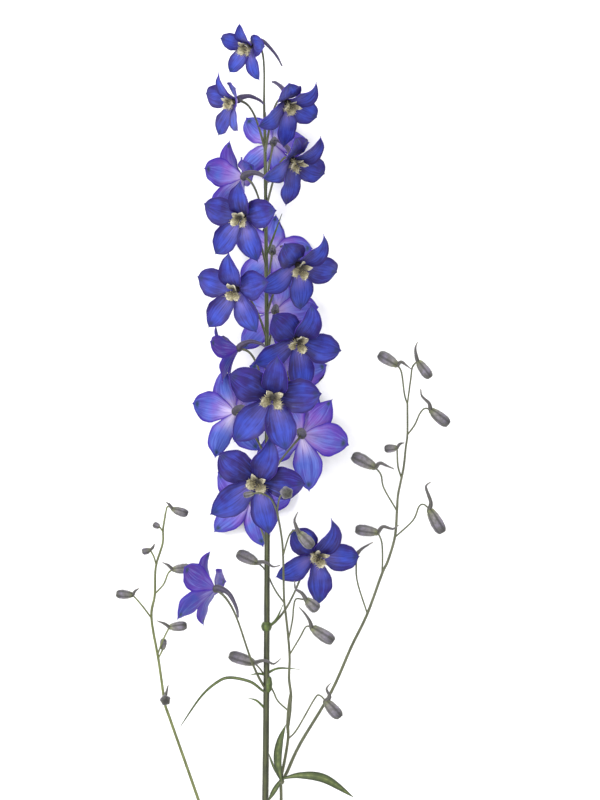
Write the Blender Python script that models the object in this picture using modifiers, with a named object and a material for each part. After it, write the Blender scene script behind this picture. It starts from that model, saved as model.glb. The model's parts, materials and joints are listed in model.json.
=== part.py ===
"""A cut stem of delphinium in flower, lying on a flat surface with its tip towards +Y.

The plan is written in millimetres, as places on the lying stem: across is to the right of
the stem's foot, along is up the stem from its cut end, and height is above the surface.
"""

import math
import random
from dataclasses import dataclass, replace

import bmesh
import bpy
from mathutils import Matrix, Vector
from mathutils.geometry import interpolate_bezier

MM = 0.001

# The middle of the whole plant, seen from above, which is where the origin lies.
MIDDLE_ACROSS = 8.9
MIDDLE_ALONG = 258.7

# Pieces of one plant that are separate nodes stop this far short of each other.
GAP = 0.3
BLADE = 0.7
# A blade that meets the surface has its middle this high, and corners lower than the next
# figure are pressed flat onto the surface, as soft petals are by the plant's weight.
FLAT_ON_SURFACE = BLADE / 2
SETTLED = 0.4

STEM_FOOT_RADIUS = 1.75
STEM_TIP_RADIUS = 0.7
STEM_TIP_ALONG = 474.0
STEM_SPIKE_HEIGHT = 26.0
STEM_FOOT_HEIGHT = 0.66 * STEM_FOOT_RADIUS
STEM_RISE_FROM = 25.0
STEM_RISE_TO = 300.0
STEM_FOOT_ACROSS = -0.8
STEM_BOW = 1.9
STEM_BOW_FROM = 60.0
STEM_BOW_LENGTH = 460.0

PEDICEL_RADIUS = 0.6
BRANCH_FOOT_RADIUS = 0.85
BRANCH_TIP_RADIUS = 0.5
BUD_STALK_RADIUS = 0.45
BRACT_RADIUS = 0.42

SEPAL_CLAW = 0.10
SPUR_LENGTH = 19.0
HEART_SEAT = 2.6
HEART_RADIUS = 1.8


@dataclass
class Sepal:
    """One sepal of a full-sized bloom: leans are forward of the bloom's plane, in degrees."""

    name: str
    angle: float
    length: float
    width: float
    widest: float
    bluntness: float
    lean_base: float
    lean_tip: float
    cup: float
    columns: int = 2
    root: float = 1.1
    twist: float = 0.0


SEPALS = (
    Sepal("upper", 90, 22.5, 12.5, 0.48, 0.90, 58, -28, 0.34),
    Sepal("left", 161, 22.0, 15.5, 0.58, 0.66, 34, -6, 0.16),
    Sepal("right", 19, 22.0, 15.5, 0.58, 0.66, 34, -6, 0.16),
    Sepal("lower_left", -124, 25.5, 13.4, 0.56, 0.80, 32, -8, 0.20),
    Sepal("lower_right", -58, 25.5, 13.4, 0.56, 0.80, 32, -8, 0.20),
)

# The four small white petals in the throat, which open like a bee's wings and legs.
HEART_PETALS = (
    Sepal("horn_left", 126, 6.6, 3.2, 0.60, 0.60, 68, 36, 0.0, 1, 1.0),
    Sepal("horn_right", 54, 6.6, 3.2, 0.60, 0.60, 68, 36, 0.0, 1, 1.0),
    Sepal("beard_left", -136, 6.4, 4.4, 0.62, 0.55, 60, 20, 0.0, 1, 1.0),
    Sepal("beard_right", -44, 6.4, 4.4, 0.62, 0.55, 60, 20, 0.0, 1, 1.0),
)


@dataclass
class Bloom:
    """One open flower. Turn 0 looks straight up from the surface and 90 to the right.

    Nod tips it towards the stem's tip, and roll turns it round its own middle, in degrees.
    Size is a share of a full-grown bloom, and close folds its sepals forward by degrees.
    Its stalk leaves the stem drop millimetres below it, and rise and sweep bend that stalk.
    """

    name: str
    across: float
    along: float
    height: float
    turn: float
    nod: float = 0.0
    roll: float = 0.0
    size: float = 1.0
    close: float = 0.0
    drop: float = 25.0
    rise: float = 0.42
    sweep: float = 0.28
    spur_lift: float = 14.0
    spur_curl: float = -5.0
    spur_swing: float = 0.0


# From the tip of the spike down.
BLOOMS = (
    Bloom(
        "01",
        across=-6.5,
        along=507.5,
        height=41.0,
        turn=-44,
        nod=-22,
        roll=-12,
        size=0.72,
        close=14,
        drop=39,
        spur_lift=6,
        spur_curl=-18,
        spur_swing=6,
    ),
    Bloom("02", -14.0, 479.5, 38.0, -58, -10, 3, 0.80, 12, drop=24, spur_lift=8, spur_curl=-7),
    Bloom("03", 10.5, 479.0, 46.0, 38, -34, -32, 0.88, 8, spur_lift=20),
    Bloom("04", 4.0, 459.0, 12.0, 180, 0, 18, 0.84),
    Bloom("05", 13.1, 450.5, 35.0, 44, -32, -34, 0.90, 8, spur_lift=20),
    Bloom("06", -11.0, 441.5, 29.0, -132, 0, 0, 0.95, 12, spur_curl=-8),
    Bloom("07", -10.4, 421.5, 44.0, -28, -14, -8, 0.96, spur_lift=24),
    Bloom("08", 3.5, 404.5, 7.9, 180, 0, 8, 0.94),
    Bloom("09", 16.0, 398.0, 42.0, 32, -28, -22, 0.98),
    Bloom("10", -13.6, 385.3, 46.0, -28, -14, -6, 0.98),
    Bloom("11", 5.0, 374.5, 14.0, 180, 0, 10, 0.98),
    Bloom("12", 15.8, 360.5, 43.0, 15, -24, -26, 1.04),
    Bloom("13", -13.5, 355.5, 30.0, -104, -14, 0, 0.78, 18, spur_lift=18, spur_curl=-8),
    Bloom("14", 4.0, 332.0, 53.5, 0, -12, -12, 1.14),
    Bloom("15", 11.8, 341.0, 7.9, 180, 0, 0, 0.98),
    Bloom("16", -15.0, 324.0, 24.0, -156, 0, -8, 1.0),
    Bloom("17", 18.5, 312.5, 21.5, 168, 0, 32, 1.12),
    Bloom("18", -3.2, 289.8, 43.0, -6, -10, -22, 1.12),
    Bloom("19", -7.5, 280.0, 7.9, 180, 0, 16, 0.98),
    Bloom(
        "20",
        across=-25.0,
        along=235.5,
        height=30.0,
        turn=-124,
        nod=10,
        roll=12,
        size=0.94,
        close=10,
        drop=51,
        rise=0.3,
        sweep=0.5,
        spur_lift=0,
        spur_curl=-12,
    ),
    Bloom(
        "21",
        across=25.0,
        along=253.0,
        height=32.0,
        turn=22,
        nod=-16,
        roll=-24,
        size=0.98,
        drop=37,
        rise=0.15,
        sweep=0.6,
    ),
)


@dataclass
class Bud:
    """A closed flower: its base sits on a stalk, its nose points away from its spur."""

    name: str
    foot: float
    bends: tuple
    base: tuple
    nose: tuple
    spur: tuple = ()
    radius: float = 3.0


# Each side branch from its foot to its tip: across, along and height.
LEFT_BRANCH = (
    (-4.2, 36, 1.6),
    (-17, 80, 3.2),
    (-34, 130, 6),
    (-48, 170, 8),
    (-50.5, 178, 8.5),
    (-53.5, 198.5, 9),
    (-57.2, 220.5, 9.5),
    (-55.5, 232, 10),
    (-55, 246, 10.5),
    (-51.5, 258, 11),
    (-51.3, 265, 11.5),
    (-50, 273.5, 12),
)
MIDDLE_BRANCH = (
    (4.6, 92, 6.6),
    (7.6, 115, 10.0),
    (8, 130, 12.5),
    (8, 140, 14.5),
    (10, 150.5, 17),
    (11.5, 160.5, 19.5),
    (11.5, 170.5, 22),
    (13, 181, 24.5),
    (12, 190.5, 27),
    (12.3, 201, 30),
    (11.5, 212.5, 33),
    (10.5, 222, 36),
    (9.5, 231.5, 39),
    (9, 254, 46),
    (8, 264, 50),
    (6, 275, 56),
)
RIGHT_BRANCH = (
    (10.8, 143, 15.2),
    (17.5, 157.5, 17),
    (33, 183.5, 20),
    (43, 206, 22),
    (51, 222.5, 23),
    (58.5, 243, 24),
    (61.5, 249.5, 24),
    (65, 261.5, 24),
    (66, 274, 24),
    (66.5, 282, 24),
    (68, 289.5, 23.5),
    (69.5, 297, 23),
    (70.5, 306.5, 22.5),
    (71.3, 313, 22),
    (71.3, 328.5, 21),
)

LEFT_BUDS = (
    Bud(
        "end",
        foot=273,
        bends=((-49, 276.5, 13.5),),
        base=(-46.5, 275.3, 14),
        nose=(-38.8, 272.8, 14.5),
        spur=((-48, 277.5, 15), (-49.8, 278.8, 15)),
        radius=2.2,
    ),
    Bud(
        "small_high",
        foot=264,
        bends=(),
        base=(-53, 266.2, 12.5),
        nose=(-56.2, 267.6, 13),
        radius=1.6,
    ),
    Bud(
        "small_mid",
        foot=247,
        bends=((-56, 251.5, 12),),
        base=(-57.8, 254.6, 13),
        nose=(-61.8, 253.6, 13),
        spur=((-56.3, 256, 14), (-55.5, 257.8, 14)),
        radius=1.7,
    ),
    Bud(
        "inner_high",
        foot=232.5,
        bends=((-51, 237.5, 13), (-48.7, 243, 14.5)),
        base=(-46.3, 245, 15),
        nose=(-37.5, 245.8, 15.5),
        spur=((-48.5, 247, 16), (-51.6, 248.6, 16)),
        radius=2.4,
    ),
    Bud(
        "outer",
        foot=220.5,
        bends=((-62.5, 227.5, 11.5),),
        base=(-66.6, 232, 12.5),
        nose=(-74.8, 232.6, 12.5),
        spur=((-65.3, 234, 13.5), (-63.2, 235.5, 13.5)),
        radius=2.3,
    ),
    Bud(
        "inner_low",
        foot=202,
        bends=((-51.5, 209, 14.5),),
        base=(-48, 216, 15),
        nose=(-39.3, 217, 15.5),
        spur=((-50.5, 217.8, 16), (-54.3, 219.3, 16)),
        radius=2.4,
    ),
    Bud(
        "small_low",
        foot=200,
        bends=(),
        base=(-51.6, 204.5, 10.5),
        nose=(-51, 210, 11),
        radius=1.7,
    ),
    Bud(
        "lowest",
        foot=179.5,
        bends=(),
        base=(-50.3, 179.8, 11),
        nose=(-50.0, 179.0, 15.5),
        spur=((-49.6, 183, 11.5), (-48.6, 187, 11)),
        radius=2.6,
    ),
)
MIDDLE_BUDS = (
    Bud(
        "end",
        foot=274.5,
        bends=((7.2, 281, 57.5),),
        base=(9.6, 284.6, 59),
        nose=(11.6, 283.6, 66),
        radius=3.0,
    ),
    Bud(
        "small_end",
        foot=274.5,
        bends=((3, 281, 58), (-2, 283.8, 60.5)),
        base=(-5.5, 283.6, 61),
        nose=(-10.5, 282.5, 61.5),
        radius=1.5,
    ),
    Bud(
        "high_right",
        foot=252.5,
        bends=((11.4, 260.7, 50.5), (13, 264, 52), (14.8, 265.2, 53)),
        base=(17, 264, 53.5),
        nose=(23.8, 257, 53),
        spur=((15.5, 267.5, 55), (14.8, 270.5, 55.5), (16.5, 274.5, 55)),
        radius=2.9,
    ),
    Bud(
        "over_bloom",
        foot=210,
        bends=((13.7, 220, 38), (14.3, 226.8, 43.5), (15.4, 230.8, 46.5), (18.6, 230.8, 48)),
        base=(20.6, 230.6, 48.5),
        nose=(26.5, 225.6, 47),
        spur=((18.4, 234, 50), (15.4, 236, 50), (14.8, 240, 49.5)),
        radius=2.9,
    ),
    Bud(
        "low_right",
        foot=202.5,
        bends=((17.5, 211.5, 34), (20.5, 216.8, 36.5)),
        base=(23.4, 216.5, 38),
        nose=(34.3, 209.5, 38),
        spur=((22.5, 219.5, 39.5), (20, 223.5, 40), (17, 226.7, 39.5)),
        radius=3.1,
    ),
    Bud(
        "high_left",
        foot=228.5,
        bends=((6, 233.5, 31), (3.6, 237.5, 22), (1.5, 242, 18.8), (-1, 246, 19.5)),
        base=(-4, 248.5, 22),
        nose=(-14, 253.2, 24),
        spur=((-1.5, 249, 25.5), (1, 248.4, 27), (4, 246.6, 27.3), (7.5, 247.2, 27)),
        radius=3.0,
    ),
    Bud(
        "low_left",
        foot=174,
        bends=((6.5, 179, 20), (4.2, 183.5, 15.5), (1, 189.5, 13), (-2.5, 195, 15)),
        base=(-5.5, 198, 17),
        nose=(-18, 202, 19),
        spur=((-3, 199, 20.5), (0.5, 199.4, 22.3), (4.3, 197.8, 22.8), (8, 200.5, 22.5)),
        radius=3.0,
    ),
    Bud(
        "lowest",
        foot=160,
        bends=((16, 165, 21), (24.7, 180.3, 25), (27.3, 182.2, 25.5)),
        base=(30.3, 179.4, 26),
        nose=(37.8, 171.2, 26),
        spur=((32.5, 181.5, 27.5), (30.8, 185.5, 28), (33, 188.5, 27.5)),
        radius=3.0,
    ),
)
RIGHT_BUDS = (
    Bud(
        "end_left",
        foot=328,
        bends=((69.8, 333, 22), (68.3, 343.8, 24)),
        base=(66, 347.5, 25),
        nose=(56.8, 353, 25.5),
        spur=((68, 349, 26.5), (70.5, 347.5, 27), (73.5, 345.2, 26.5)),
        radius=2.9,
    ),
    Bud(
        "end_right",
        foot=328,
        bends=((73, 341, 23.5), (73.8, 346.5, 24.5)),
        base=(76.5, 349.5, 25),
        nose=(82.8, 341.2, 25.5),
        spur=((75.6, 352.5, 26.5), (75.3, 356.2, 27), (76.4, 359.2, 27)),
        radius=2.6,
    ),
    Bud(
        "outer_high",
        foot=312.5,
        bends=((74.9, 317.5, 23), (77.5, 323.2, 24.5), (80, 325.8, 25)),
        base=(83, 325, 25.5),
        nose=(92, 317.8, 26),
        spur=((82, 328.5, 27), (78.5, 332, 27.5), (77.9, 335.7, 27)),
        radius=2.9,
    ),
    Bud(
        "small",
        foot=291,
        bends=((66.5, 297, 25),),
        base=(66, 306, 27),
        nose=(59.8, 305.4, 27.5),
        spur=((67.5, 308, 28), (69.8, 308.6, 27.8)),
        radius=2.1,
    ),
    Bud(
        "inner_high",
        foot=274.5,
        bends=((59.5, 285.8, 25.5), (58, 292.5, 26.5)),
        base=(55, 296.3, 27),
        nose=(43.6, 302.2, 27.5),
        spur=((57.5, 298.4, 28.5), (61, 297, 29), (64.5, 295.5, 28.5)),
        radius=3.1,
    ),
    Bud(
        "outer_low",
        foot=261.2,
        bends=((74, 269.7, 25), (77, 276.6, 25.5), (79.5, 277.7, 26)),
        base=(82.3, 275.2, 26.5),
        nose=(89, 263.6, 27),
        spur=((83, 279, 28), (80.8, 285, 28.5), (80.7, 287.3, 28.5), (83, 289, 28)),
        radius=3.1,
    ),
    Bud(
        "inner_low",
        foot=243,
        bends=((58.8, 250, 25), (58.4, 258.7, 26.5)),
        base=(56.3, 263.6, 27),
        nose=(45.2, 265.3, 27.5),
        spur=((59, 266.6, 28.5), (63.9, 265.5, 28.8), (66.9, 267.5, 28.5)),
        radius=2.8,
    ),
    Bud(
        "behind_bloom",
        foot=223,
        bends=((46, 240, 24),),
        base=(45.8, 252.5, 24),
        nose=(38, 247, 23),
        spur=((48.5, 255.5, 25), (54, 258.8, 25)),
        radius=2.7,
    ),
)

# Thin bracts that grow from the main stem, each from its foot to its tip.
BRACTS = (
    ((1.0, 193, 17.7), (7, 195.5, 18.5), (17.5, 195, 19.5)),
    ((1.0, 192, 17.5), (-3.5, 192.8, 18.0), (-7.5, 192, 17.5)),
    ((1.0, 174, 15.0), (-4, 179, 16.5), (-8.5, 180.5, 17)),
    ((1.0, 216, 20.5), (5.5, 220, 23), (9, 227.5, 25)),
    ((0.8, 403, 26.0), (4, 411, 32), (8.5, 423, 36)),
)

# Swellings of the main stem where leaves have fallen or a shoot sleeps: along and radii.
STEM_KNOTS = (
    ((1.0, 216.5), (2.3, 2.4, 2.2)),
    ((1.6, 187.5), (1.9, 4.4, 1.9)),
)


@dataclass
class Lobe:
    """A leaf lobe along its midrib, as wide as stated where it is widest."""

    name: str
    midrib: tuple
    width: float
    widest: float = 0.45


# The leaf at the fork, whose lobes spread over the side branches. Its foot is a low cushion
# on the middle branch, just clear of it.
LEAF_FOOT = (8.2, 138.5, 16.3)
LEAF_FOOT_RADII = (1.5, 1.5, 1.05)
FORK_LOBES = (
    Lobe("up", ((8.2, 138.5, 17.0), (6.3, 149, 19.5), (7.4, 159, 22), (10.6, 168, 24)), 4.2),
    Lobe("thin", ((7.8, 139, 17.0), (3.9, 147, 17.8), (1.6, 153.5, 18)), 1.3),
    Lobe("right", ((8.2, 140, 17.0), (17.5, 141.8, 18.6), (30, 140, 17), (45, 130, 9)), 4.6, 0.6),
    Lobe("down", ((8.6, 140.5, 17.0), (4.6, 134, 15.5), (1.2, 128, 13.5)), 2.6),
)
LONG_LEAF = Lobe(
    "long",
    (
        (-1.6, 184.5, 17.8),
        (-7.5, 188.8, 19.5),
        (-17.5, 190.8, 19),
        (-24, 188.5, 17.2),
        (-32.5, 180.7, 12.5),
        (-43.5, 164.5, 4.5),
    ),
    2.3,
)


def degrees_of(*angles):
    return [math.radians(angle) for angle in angles]


def world(across, along, height):
    """A place on the plan, in the row frame and in metres."""
    return Vector((across - MIDDLE_ACROSS, along - MIDDLE_ALONG, height)) * MM


def smooth_step(t):
    t = min(1.0, max(0.0, t))
    return t * t * (3 - 2 * t)


def stem_height(along):
    rise = smooth_step((along - STEM_RISE_FROM) / (STEM_RISE_TO - STEM_RISE_FROM))
    return STEM_FOOT_HEIGHT + (STEM_SPIKE_HEIGHT - STEM_FOOT_HEIGHT) * rise


def stem_across(along):
    """The stem bows a little to the right through its spike."""
    share = (along - STEM_BOW_FROM) / STEM_BOW_LENGTH
    return STEM_FOOT_ACROSS + STEM_BOW * math.sin(math.pi * share)


def stem_radius(along):
    share = min(1.0, along / STEM_TIP_ALONG)
    return STEM_FOOT_RADIUS + (STEM_TIP_RADIUS - STEM_FOOT_RADIUS) * share**1.4


def on_stem(along):
    return Vector((stem_across(along), along, stem_height(along)))


def facing(turn, nod, roll):
    """A bloom's right, up and forward directions as a matrix's columns."""
    turn, nod, roll = degrees_of(turn, nod, roll)
    forward = Vector(
        (
            math.sin(turn) * math.cos(nod),
            math.sin(nod),
            math.cos(turn) * math.cos(nod),
        )
    )
    up = (Vector((0, 1, 0)) - forward * forward.y).normalized()
    right = up.cross(forward)
    columns = Matrix((right, up, forward)).transposed()
    return columns @ Matrix.Rotation(roll, 3, "Z")


def varied(sepal, bloom):
    """The sepal as it grew on this bloom: no two are quite alike."""
    draw = random.Random(f"{bloom.name} {sepal.name}")
    return replace(
        sepal,
        angle=sepal.angle + draw.uniform(-5, 5),
        length=sepal.length * bloom.size * draw.uniform(0.95, 1.04),
        width=sepal.width * bloom.size * draw.uniform(0.94, 1.05),
        lean_base=sepal.lean_base + bloom.close + draw.uniform(-4, 4),
        lean_tip=sepal.lean_tip + bloom.close + draw.uniform(-8, 8),
        twist=draw.uniform(-14, 14),
    )


def half_width(sepal, u):
    """Half the sepal's width at u, its place from root 0 to tip 1."""
    power = math.log(0.5) / math.log(sepal.widest)
    bulge = max(0.0, math.sin(math.pi * u**power)) ** sepal.bluntness
    claw = SEPAL_CLAW * (1 - u) ** 2
    return sepal.width / 2 * (claw + (1 - claw) * bulge)


def sepal_point(sepal, u, v):
    """A point of the sepal's middle surface: outwards, sideways and forwards of its root."""
    start, end = degrees_of(sepal.lean_base, sepal.lean_tip)
    lean = start + (end - start) * u
    outwards = sepal.length * (math.sin(lean) - math.sin(start)) / (end - start)
    forwards = sepal.length * (math.cos(start) - math.cos(lean)) / (end - start)
    half = half_width(sepal, u)
    turned = math.radians(sepal.twist) * u
    sideways = v * half * math.cos(turned)
    lifted = v * half * math.sin(turned) + sepal.cup * half * v * v
    return Vector(
        (
            sepal.root + outwards - math.sin(lean) * lifted,
            sideways,
            forwards + math.cos(lean) * lifted,
        )
    )


def material(name, colour, roughness):
    made = bpy.data.materials.get(name)
    if made is None:
        made = bpy.data.materials.new(name)
        made.use_nodes = True
        shader = made.node_tree.nodes["Principled BSDF"]
        shader.inputs["Base Color"].default_value = (*colour, 1.0)
        shader.inputs["Roughness"].default_value = roughness
        shader.inputs["Metallic"].default_value = 0.0
    return made


def petal_blue():
    return material("sepal_blue_violet", (0.055, 0.045, 0.45), 0.45)


def heart_white():
    return material("heart_cream_white", (0.72, 0.68, 0.52), 0.6)


def stalk_green():
    return material("stalk_olive_green", (0.11, 0.16, 0.045), 0.5)


def leaf_green():
    return material("leaf_mid_green", (0.07, 0.17, 0.03), 0.5)


def bud_grey():
    return material("bud_green_and_mauve", (0.17, 0.18, 0.14), 0.55)


def plain_mesh(name, corners, faces):
    """A mesh object from points in metres."""
    mesh = bpy.data.meshes.new(name)
    mesh.from_pydata(corners, [], faces)
    mesh.validate()
    made = bpy.data.objects.new(name, mesh)
    bpy.context.scene.collection.objects.link(made)
    return made


def as_plain_mesh(shape, weld=0.00001):
    """The evaluated shape as a mesh with its caps welded and its modifiers gone."""
    bpy.context.view_layer.update()
    graph = bpy.context.evaluated_depsgraph_get()
    mesh = bpy.data.meshes.new_from_object(shape.evaluated_get(graph))
    made = bpy.data.objects.new(shape.name, mesh)
    made.matrix_world = shape.matrix_world
    bpy.context.scene.collection.objects.link(made)
    bpy.data.objects.remove(shape)
    cage = bmesh.new()
    cage.from_mesh(mesh)
    bmesh.ops.remove_doubles(cage, verts=cage.verts, dist=weld)
    bmesh.ops.recalc_face_normals(cage, faces=cage.faces)
    bmesh.ops.triangulate(cage, faces=cage.faces)
    cage.to_mesh(mesh)
    cage.free()
    return made


def triangulated(shape):
    cage = bmesh.new()
    cage.from_mesh(shape.data)
    bmesh.ops.triangulate(cage, faces=cage.faces)
    cage.to_mesh(shape.data)
    cage.free()
    return shape


def strip(first, second, mirrored):
    """Triangles between two rows of corner numbers; a row may be one lone corner."""
    if len(first) == 1:
        return [(first[0], b, a) for a, b in zip(second, second[1:])]
    if len(second) == 1:
        return [(a, b, second[0]) for a, b in zip(first, first[1:])]
    faces = []
    for c in range(len(first) - 1):
        a, b, d, e = first[c], first[c + 1], second[c], second[c + 1]
        if mirrored and c >= (len(first) - 1) / 2:
            faces += [(a, b, d), (b, e, d)]
        else:
            faces += [(a, b, e), (a, e, d)]
    return faces


def blade_from_rows(name, rows, thickness=BLADE):
    """A thin solid from rows of points in metres, across the blade from root to tip.

    It is cut into triangles before it gets its thickness, so that both faces
    fold along the same lines and never cross.
    """
    floor = FLAT_ON_SURFACE * MM
    points = [Vector((p.x, p.y, max(p.z, floor))) for row in rows for p in row]
    numbers, used = [], 0
    for row in rows:
        numbers.append(range(used, used + len(row)))
        used += len(row)
    faces = []
    for first, second in zip(numbers, numbers[1:]):
        faces += strip(first, second, mirrored=True)
    blade = plain_mesh(name, points, faces)
    skin = blade.modifiers.new("thickness", "SOLIDIFY")
    skin.thickness = thickness * MM
    skin.offset = 0.0
    return as_plain_mesh(blade)


def sepal_blade(sepal, place, thickness=BLADE, stations=(0.34, 0.64, 0.88), pointed=True):
    """A sepal as a thin blade on a pointed root, placed by a bloom's matrix."""
    around = Matrix.Rotation(math.radians(sepal.angle), 4, "Z")
    sides = [2 * c / sepal.columns - 1 for c in range(sepal.columns + 1)]
    grid = [(0.0, [0.0]), *((u, sides) for u in stations)]
    if pointed:
        grid.append((1.0, [0.0]))
    rows = [
        [place @ around @ (sepal_point(sepal, u, v) * MM) for v in across] for u, across in grid
    ]
    return blade_from_rows(sepal.name, rows, thickness)


def tube(name, points, radii, sides=4):
    """A stalk through points in metres, with a radius in millimetres at each."""
    heading = (points[1] - points[0]).normalized()
    side = heading.orthogonal().normalized()
    corners = []
    for i, (point, radius) in enumerate(zip(points, radii)):
        ahead = points[min(i + 1, len(points) - 1)] - points[max(i - 1, 0)]
        side = heading.rotation_difference(ahead) @ side
        heading = ahead.normalized()
        other = heading.cross(side)
        for k in range(sides):
            angle = math.tau * k / sides
            corners.append(point + (side * math.cos(angle) + other * math.sin(angle)) * radius * MM)
    faces = [tuple(reversed(range(sides)))]
    for r in range(len(points) - 1):
        for k in range(sides):
            a, b = r * sides + k, r * sides + (k + 1) % sides
            faces.append((a, b, b + sides, a + sides))
    faces.append(tuple(range(len(corners) - sides, len(corners))))
    return triangulated(plain_mesh(name, corners, faces))


def ball(name, centre, radii, sides, rings, turned=None):
    """A low ellipsoid at a place in metres, with its three radii in millimetres."""
    mesh = bpy.data.meshes.new(name)
    cage = bmesh.new()
    bmesh.ops.create_uvsphere(cage, u_segments=sides, v_segments=rings, radius=MM)
    bmesh.ops.triangulate(cage, faces=cage.faces)
    cage.to_mesh(mesh)
    cage.free()
    turned = turned or Matrix.Identity(3)
    shape = Matrix.Translation(centre) @ turned.to_4x4() @ Matrix.Diagonal((*radii, 1.0))
    mesh.transform(shape)
    made = bpy.data.objects.new(name, mesh)
    bpy.context.scene.collection.objects.link(made)
    return made


def fuse(name, shapes, finish):
    """The shapes joined into one closed body, as the node of that name."""
    body, others = shapes[0], shapes[1:]
    if others:
        group = bpy.data.collections.new(name + "_shapes")
        bpy.context.scene.collection.children.link(group)
        for shape in others:
            bpy.context.scene.collection.objects.unlink(shape)
            group.objects.link(shape)
        union = body.modifiers.new("union", "BOOLEAN")
        union.operation = "UNION"
        union.operand_type = "COLLECTION"
        union.collection = group
        union.solver = "EXACT"
        body = as_plain_mesh(body, weld=0.000005)
        for shape in list(group.objects):
            bpy.data.objects.remove(shape)
        bpy.data.collections.remove(group)
    for corner in body.data.vertices:
        if corner.co.z < SETTLED * MM:
            corner.co.z = 0.0
    body.name = body.data.name = name
    body.data.materials.clear()
    body.data.materials.append(finish)
    body.data.shade_smooth()
    body.data.set_sharp_from_angle(angle=math.radians(35))
    PLANT.objects.link(body)
    bpy.context.scene.collection.objects.unlink(body)
    return body


def smooth_path(points, per_span):
    """A smooth curve through hand-set points, with per_span steps between neighbours."""
    path = []
    ends = [points[0] * 2 - points[1], *points, points[-1] * 2 - points[-2]]
    for before, start, end, after in zip(ends, ends[1:], ends[2:], ends[3:]):
        spans = interpolate_bezier(
            start,
            start + (end - before) / 6,
            end - (after - start) / 6,
            end,
            per_span + 1,
        )
        path += spans[:-1]
    return [*path, points[-1]]


def bloom_place(bloom):
    """The matrix that carries a bloom's own frame, in metres, to where it opens."""
    turned = facing(bloom.turn, bloom.nod, bloom.roll).to_4x4()
    return Matrix.Translation(world(bloom.across, bloom.along, bloom.height)) @ turned


def spur_line(bloom):
    """The receptacle and spur in the bloom's own frame: its middle line and its radii, in mm."""
    lift = math.radians(bloom.spur_lift)
    length = SPUR_LENGTH * bloom.size
    line = [Vector((0, 0, 1.0)), Vector((0, 0.2, -0.6))]
    radii = [1.5, 2.2]
    for t, radius in ((0.14, 1.75), (0.5, 1.1), (1.0, 0.45)):
        back = length * t
        swing = bloom.spur_swing * t * t
        curl = bloom.spur_curl * t**3
        line.append(
            Vector((swing, 0.8 + back * math.sin(lift) + curl, -back * math.cos(lift)))
        )
        radii.append(radius)
    return line, [radius * (0.3 + 0.7 * bloom.size) for radius in radii]


def make_bloom(bloom):
    """Five sepals on a receptacle that is drawn out behind into a spur."""
    place = bloom_place(bloom)
    line, radii = spur_line(bloom)
    shapes = [tube("spur", [place @ (point * MM) for point in line], radii, sides=6)]
    shapes += [sepal_blade(varied(sepal, bloom), place) for sepal in SEPALS]
    fuse("bloom_" + bloom.name, shapes, petal_blue())


def make_heart(bloom):
    """The four white inner petals, standing in the throat just clear of the receptacle."""
    place = bloom_place(bloom) @ Matrix.Translation((0, 0, HEART_SEAT * MM))
    scale = 0.5 + 0.5 * bloom.size
    seat = [place @ Vector((0, 0, height * MM)) for height in (-0.9, 0.7)]
    shapes = [tube("seat", seat, [HEART_RADIUS * scale, HEART_RADIUS * scale * 0.8], sides=5)]
    for petal in HEART_PETALS:
        grown = replace(
            petal,
            length=petal.length * scale,
            width=petal.width * scale,
            lean_base=min(84, petal.lean_base + bloom.close / 2),
            lean_tip=petal.lean_tip + bloom.close,
        )
        shapes.append(sepal_blade(grown, place, 0.8, stations=(0.5, 0.88), pointed=False))
    fuse("heart_" + bloom.name, shapes, heart_white())


def pedicel_line(bloom, steps):
    """A flower stalk's middle line, from inside the stem to just short of the receptacle."""
    foot = on_stem(bloom.along - bloom.drop)
    bloom_at = Vector((bloom.across, bloom.along, bloom.height))
    turned = facing(bloom.turn, bloom.nod, bloom.roll)
    forward = turned @ Vector((0, 0, 1))
    end = bloom_at + turned @ Vector((0, -1.4, -2.6 - GAP))
    outwards = (end - foot) * Vector((1, 0, 1))
    reach = (end - foot).length
    start_pull = foot + Vector((0, reach * bloom.rise, 0)) + outwards * bloom.sweep
    end_pull = end - forward * reach * 0.26 - Vector((0, reach * 0.10, 0))
    return interpolate_bezier(foot, start_pull, end_pull, end, steps + 1)


def make_stem():
    """The main stem with the flower stalks and bracts that grow from it."""
    count = 16
    line = [on_stem(STEM_TIP_ALONG * i / count) for i in range(count + 1)]
    radii = [stem_radius(point.y) for point in line]
    shapes = [tube("stem", [world(*p) for p in line], radii, sides=8)]
    for bloom in BLOOMS:
        steps = 4
        stalk = [world(*point) for point in pedicel_line(bloom, steps)]
        shapes.append(tube("pedicel", stalk, [PEDICEL_RADIUS] * (steps + 1)))
    for bract in BRACTS:
        radii = [BRACT_RADIUS, BRACT_RADIUS, BRACT_RADIUS * 0.6]
        shapes.append(tube("bract", [world(*point) for point in bract], radii))
    for (across, along), radii in STEM_KNOTS:
        centre = world(across, along, stem_height(along))
        shapes.append(ball("knot", centre, radii, 6, 4))
    fuse("stem", shapes, stalk_green())


def on_branch(branch, along):
    """The place on a branch's middle line that lies that far along."""
    for (a0, l0, h0), (a1, l1, h1) in zip(branch, branch[1:]):
        if along <= l1:
            share = (along - l0) / (l1 - l0)
            return Vector((a0 + (a1 - a0) * share, along, h0 + (h1 - h0) * share))
    return Vector(branch[-1])


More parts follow.
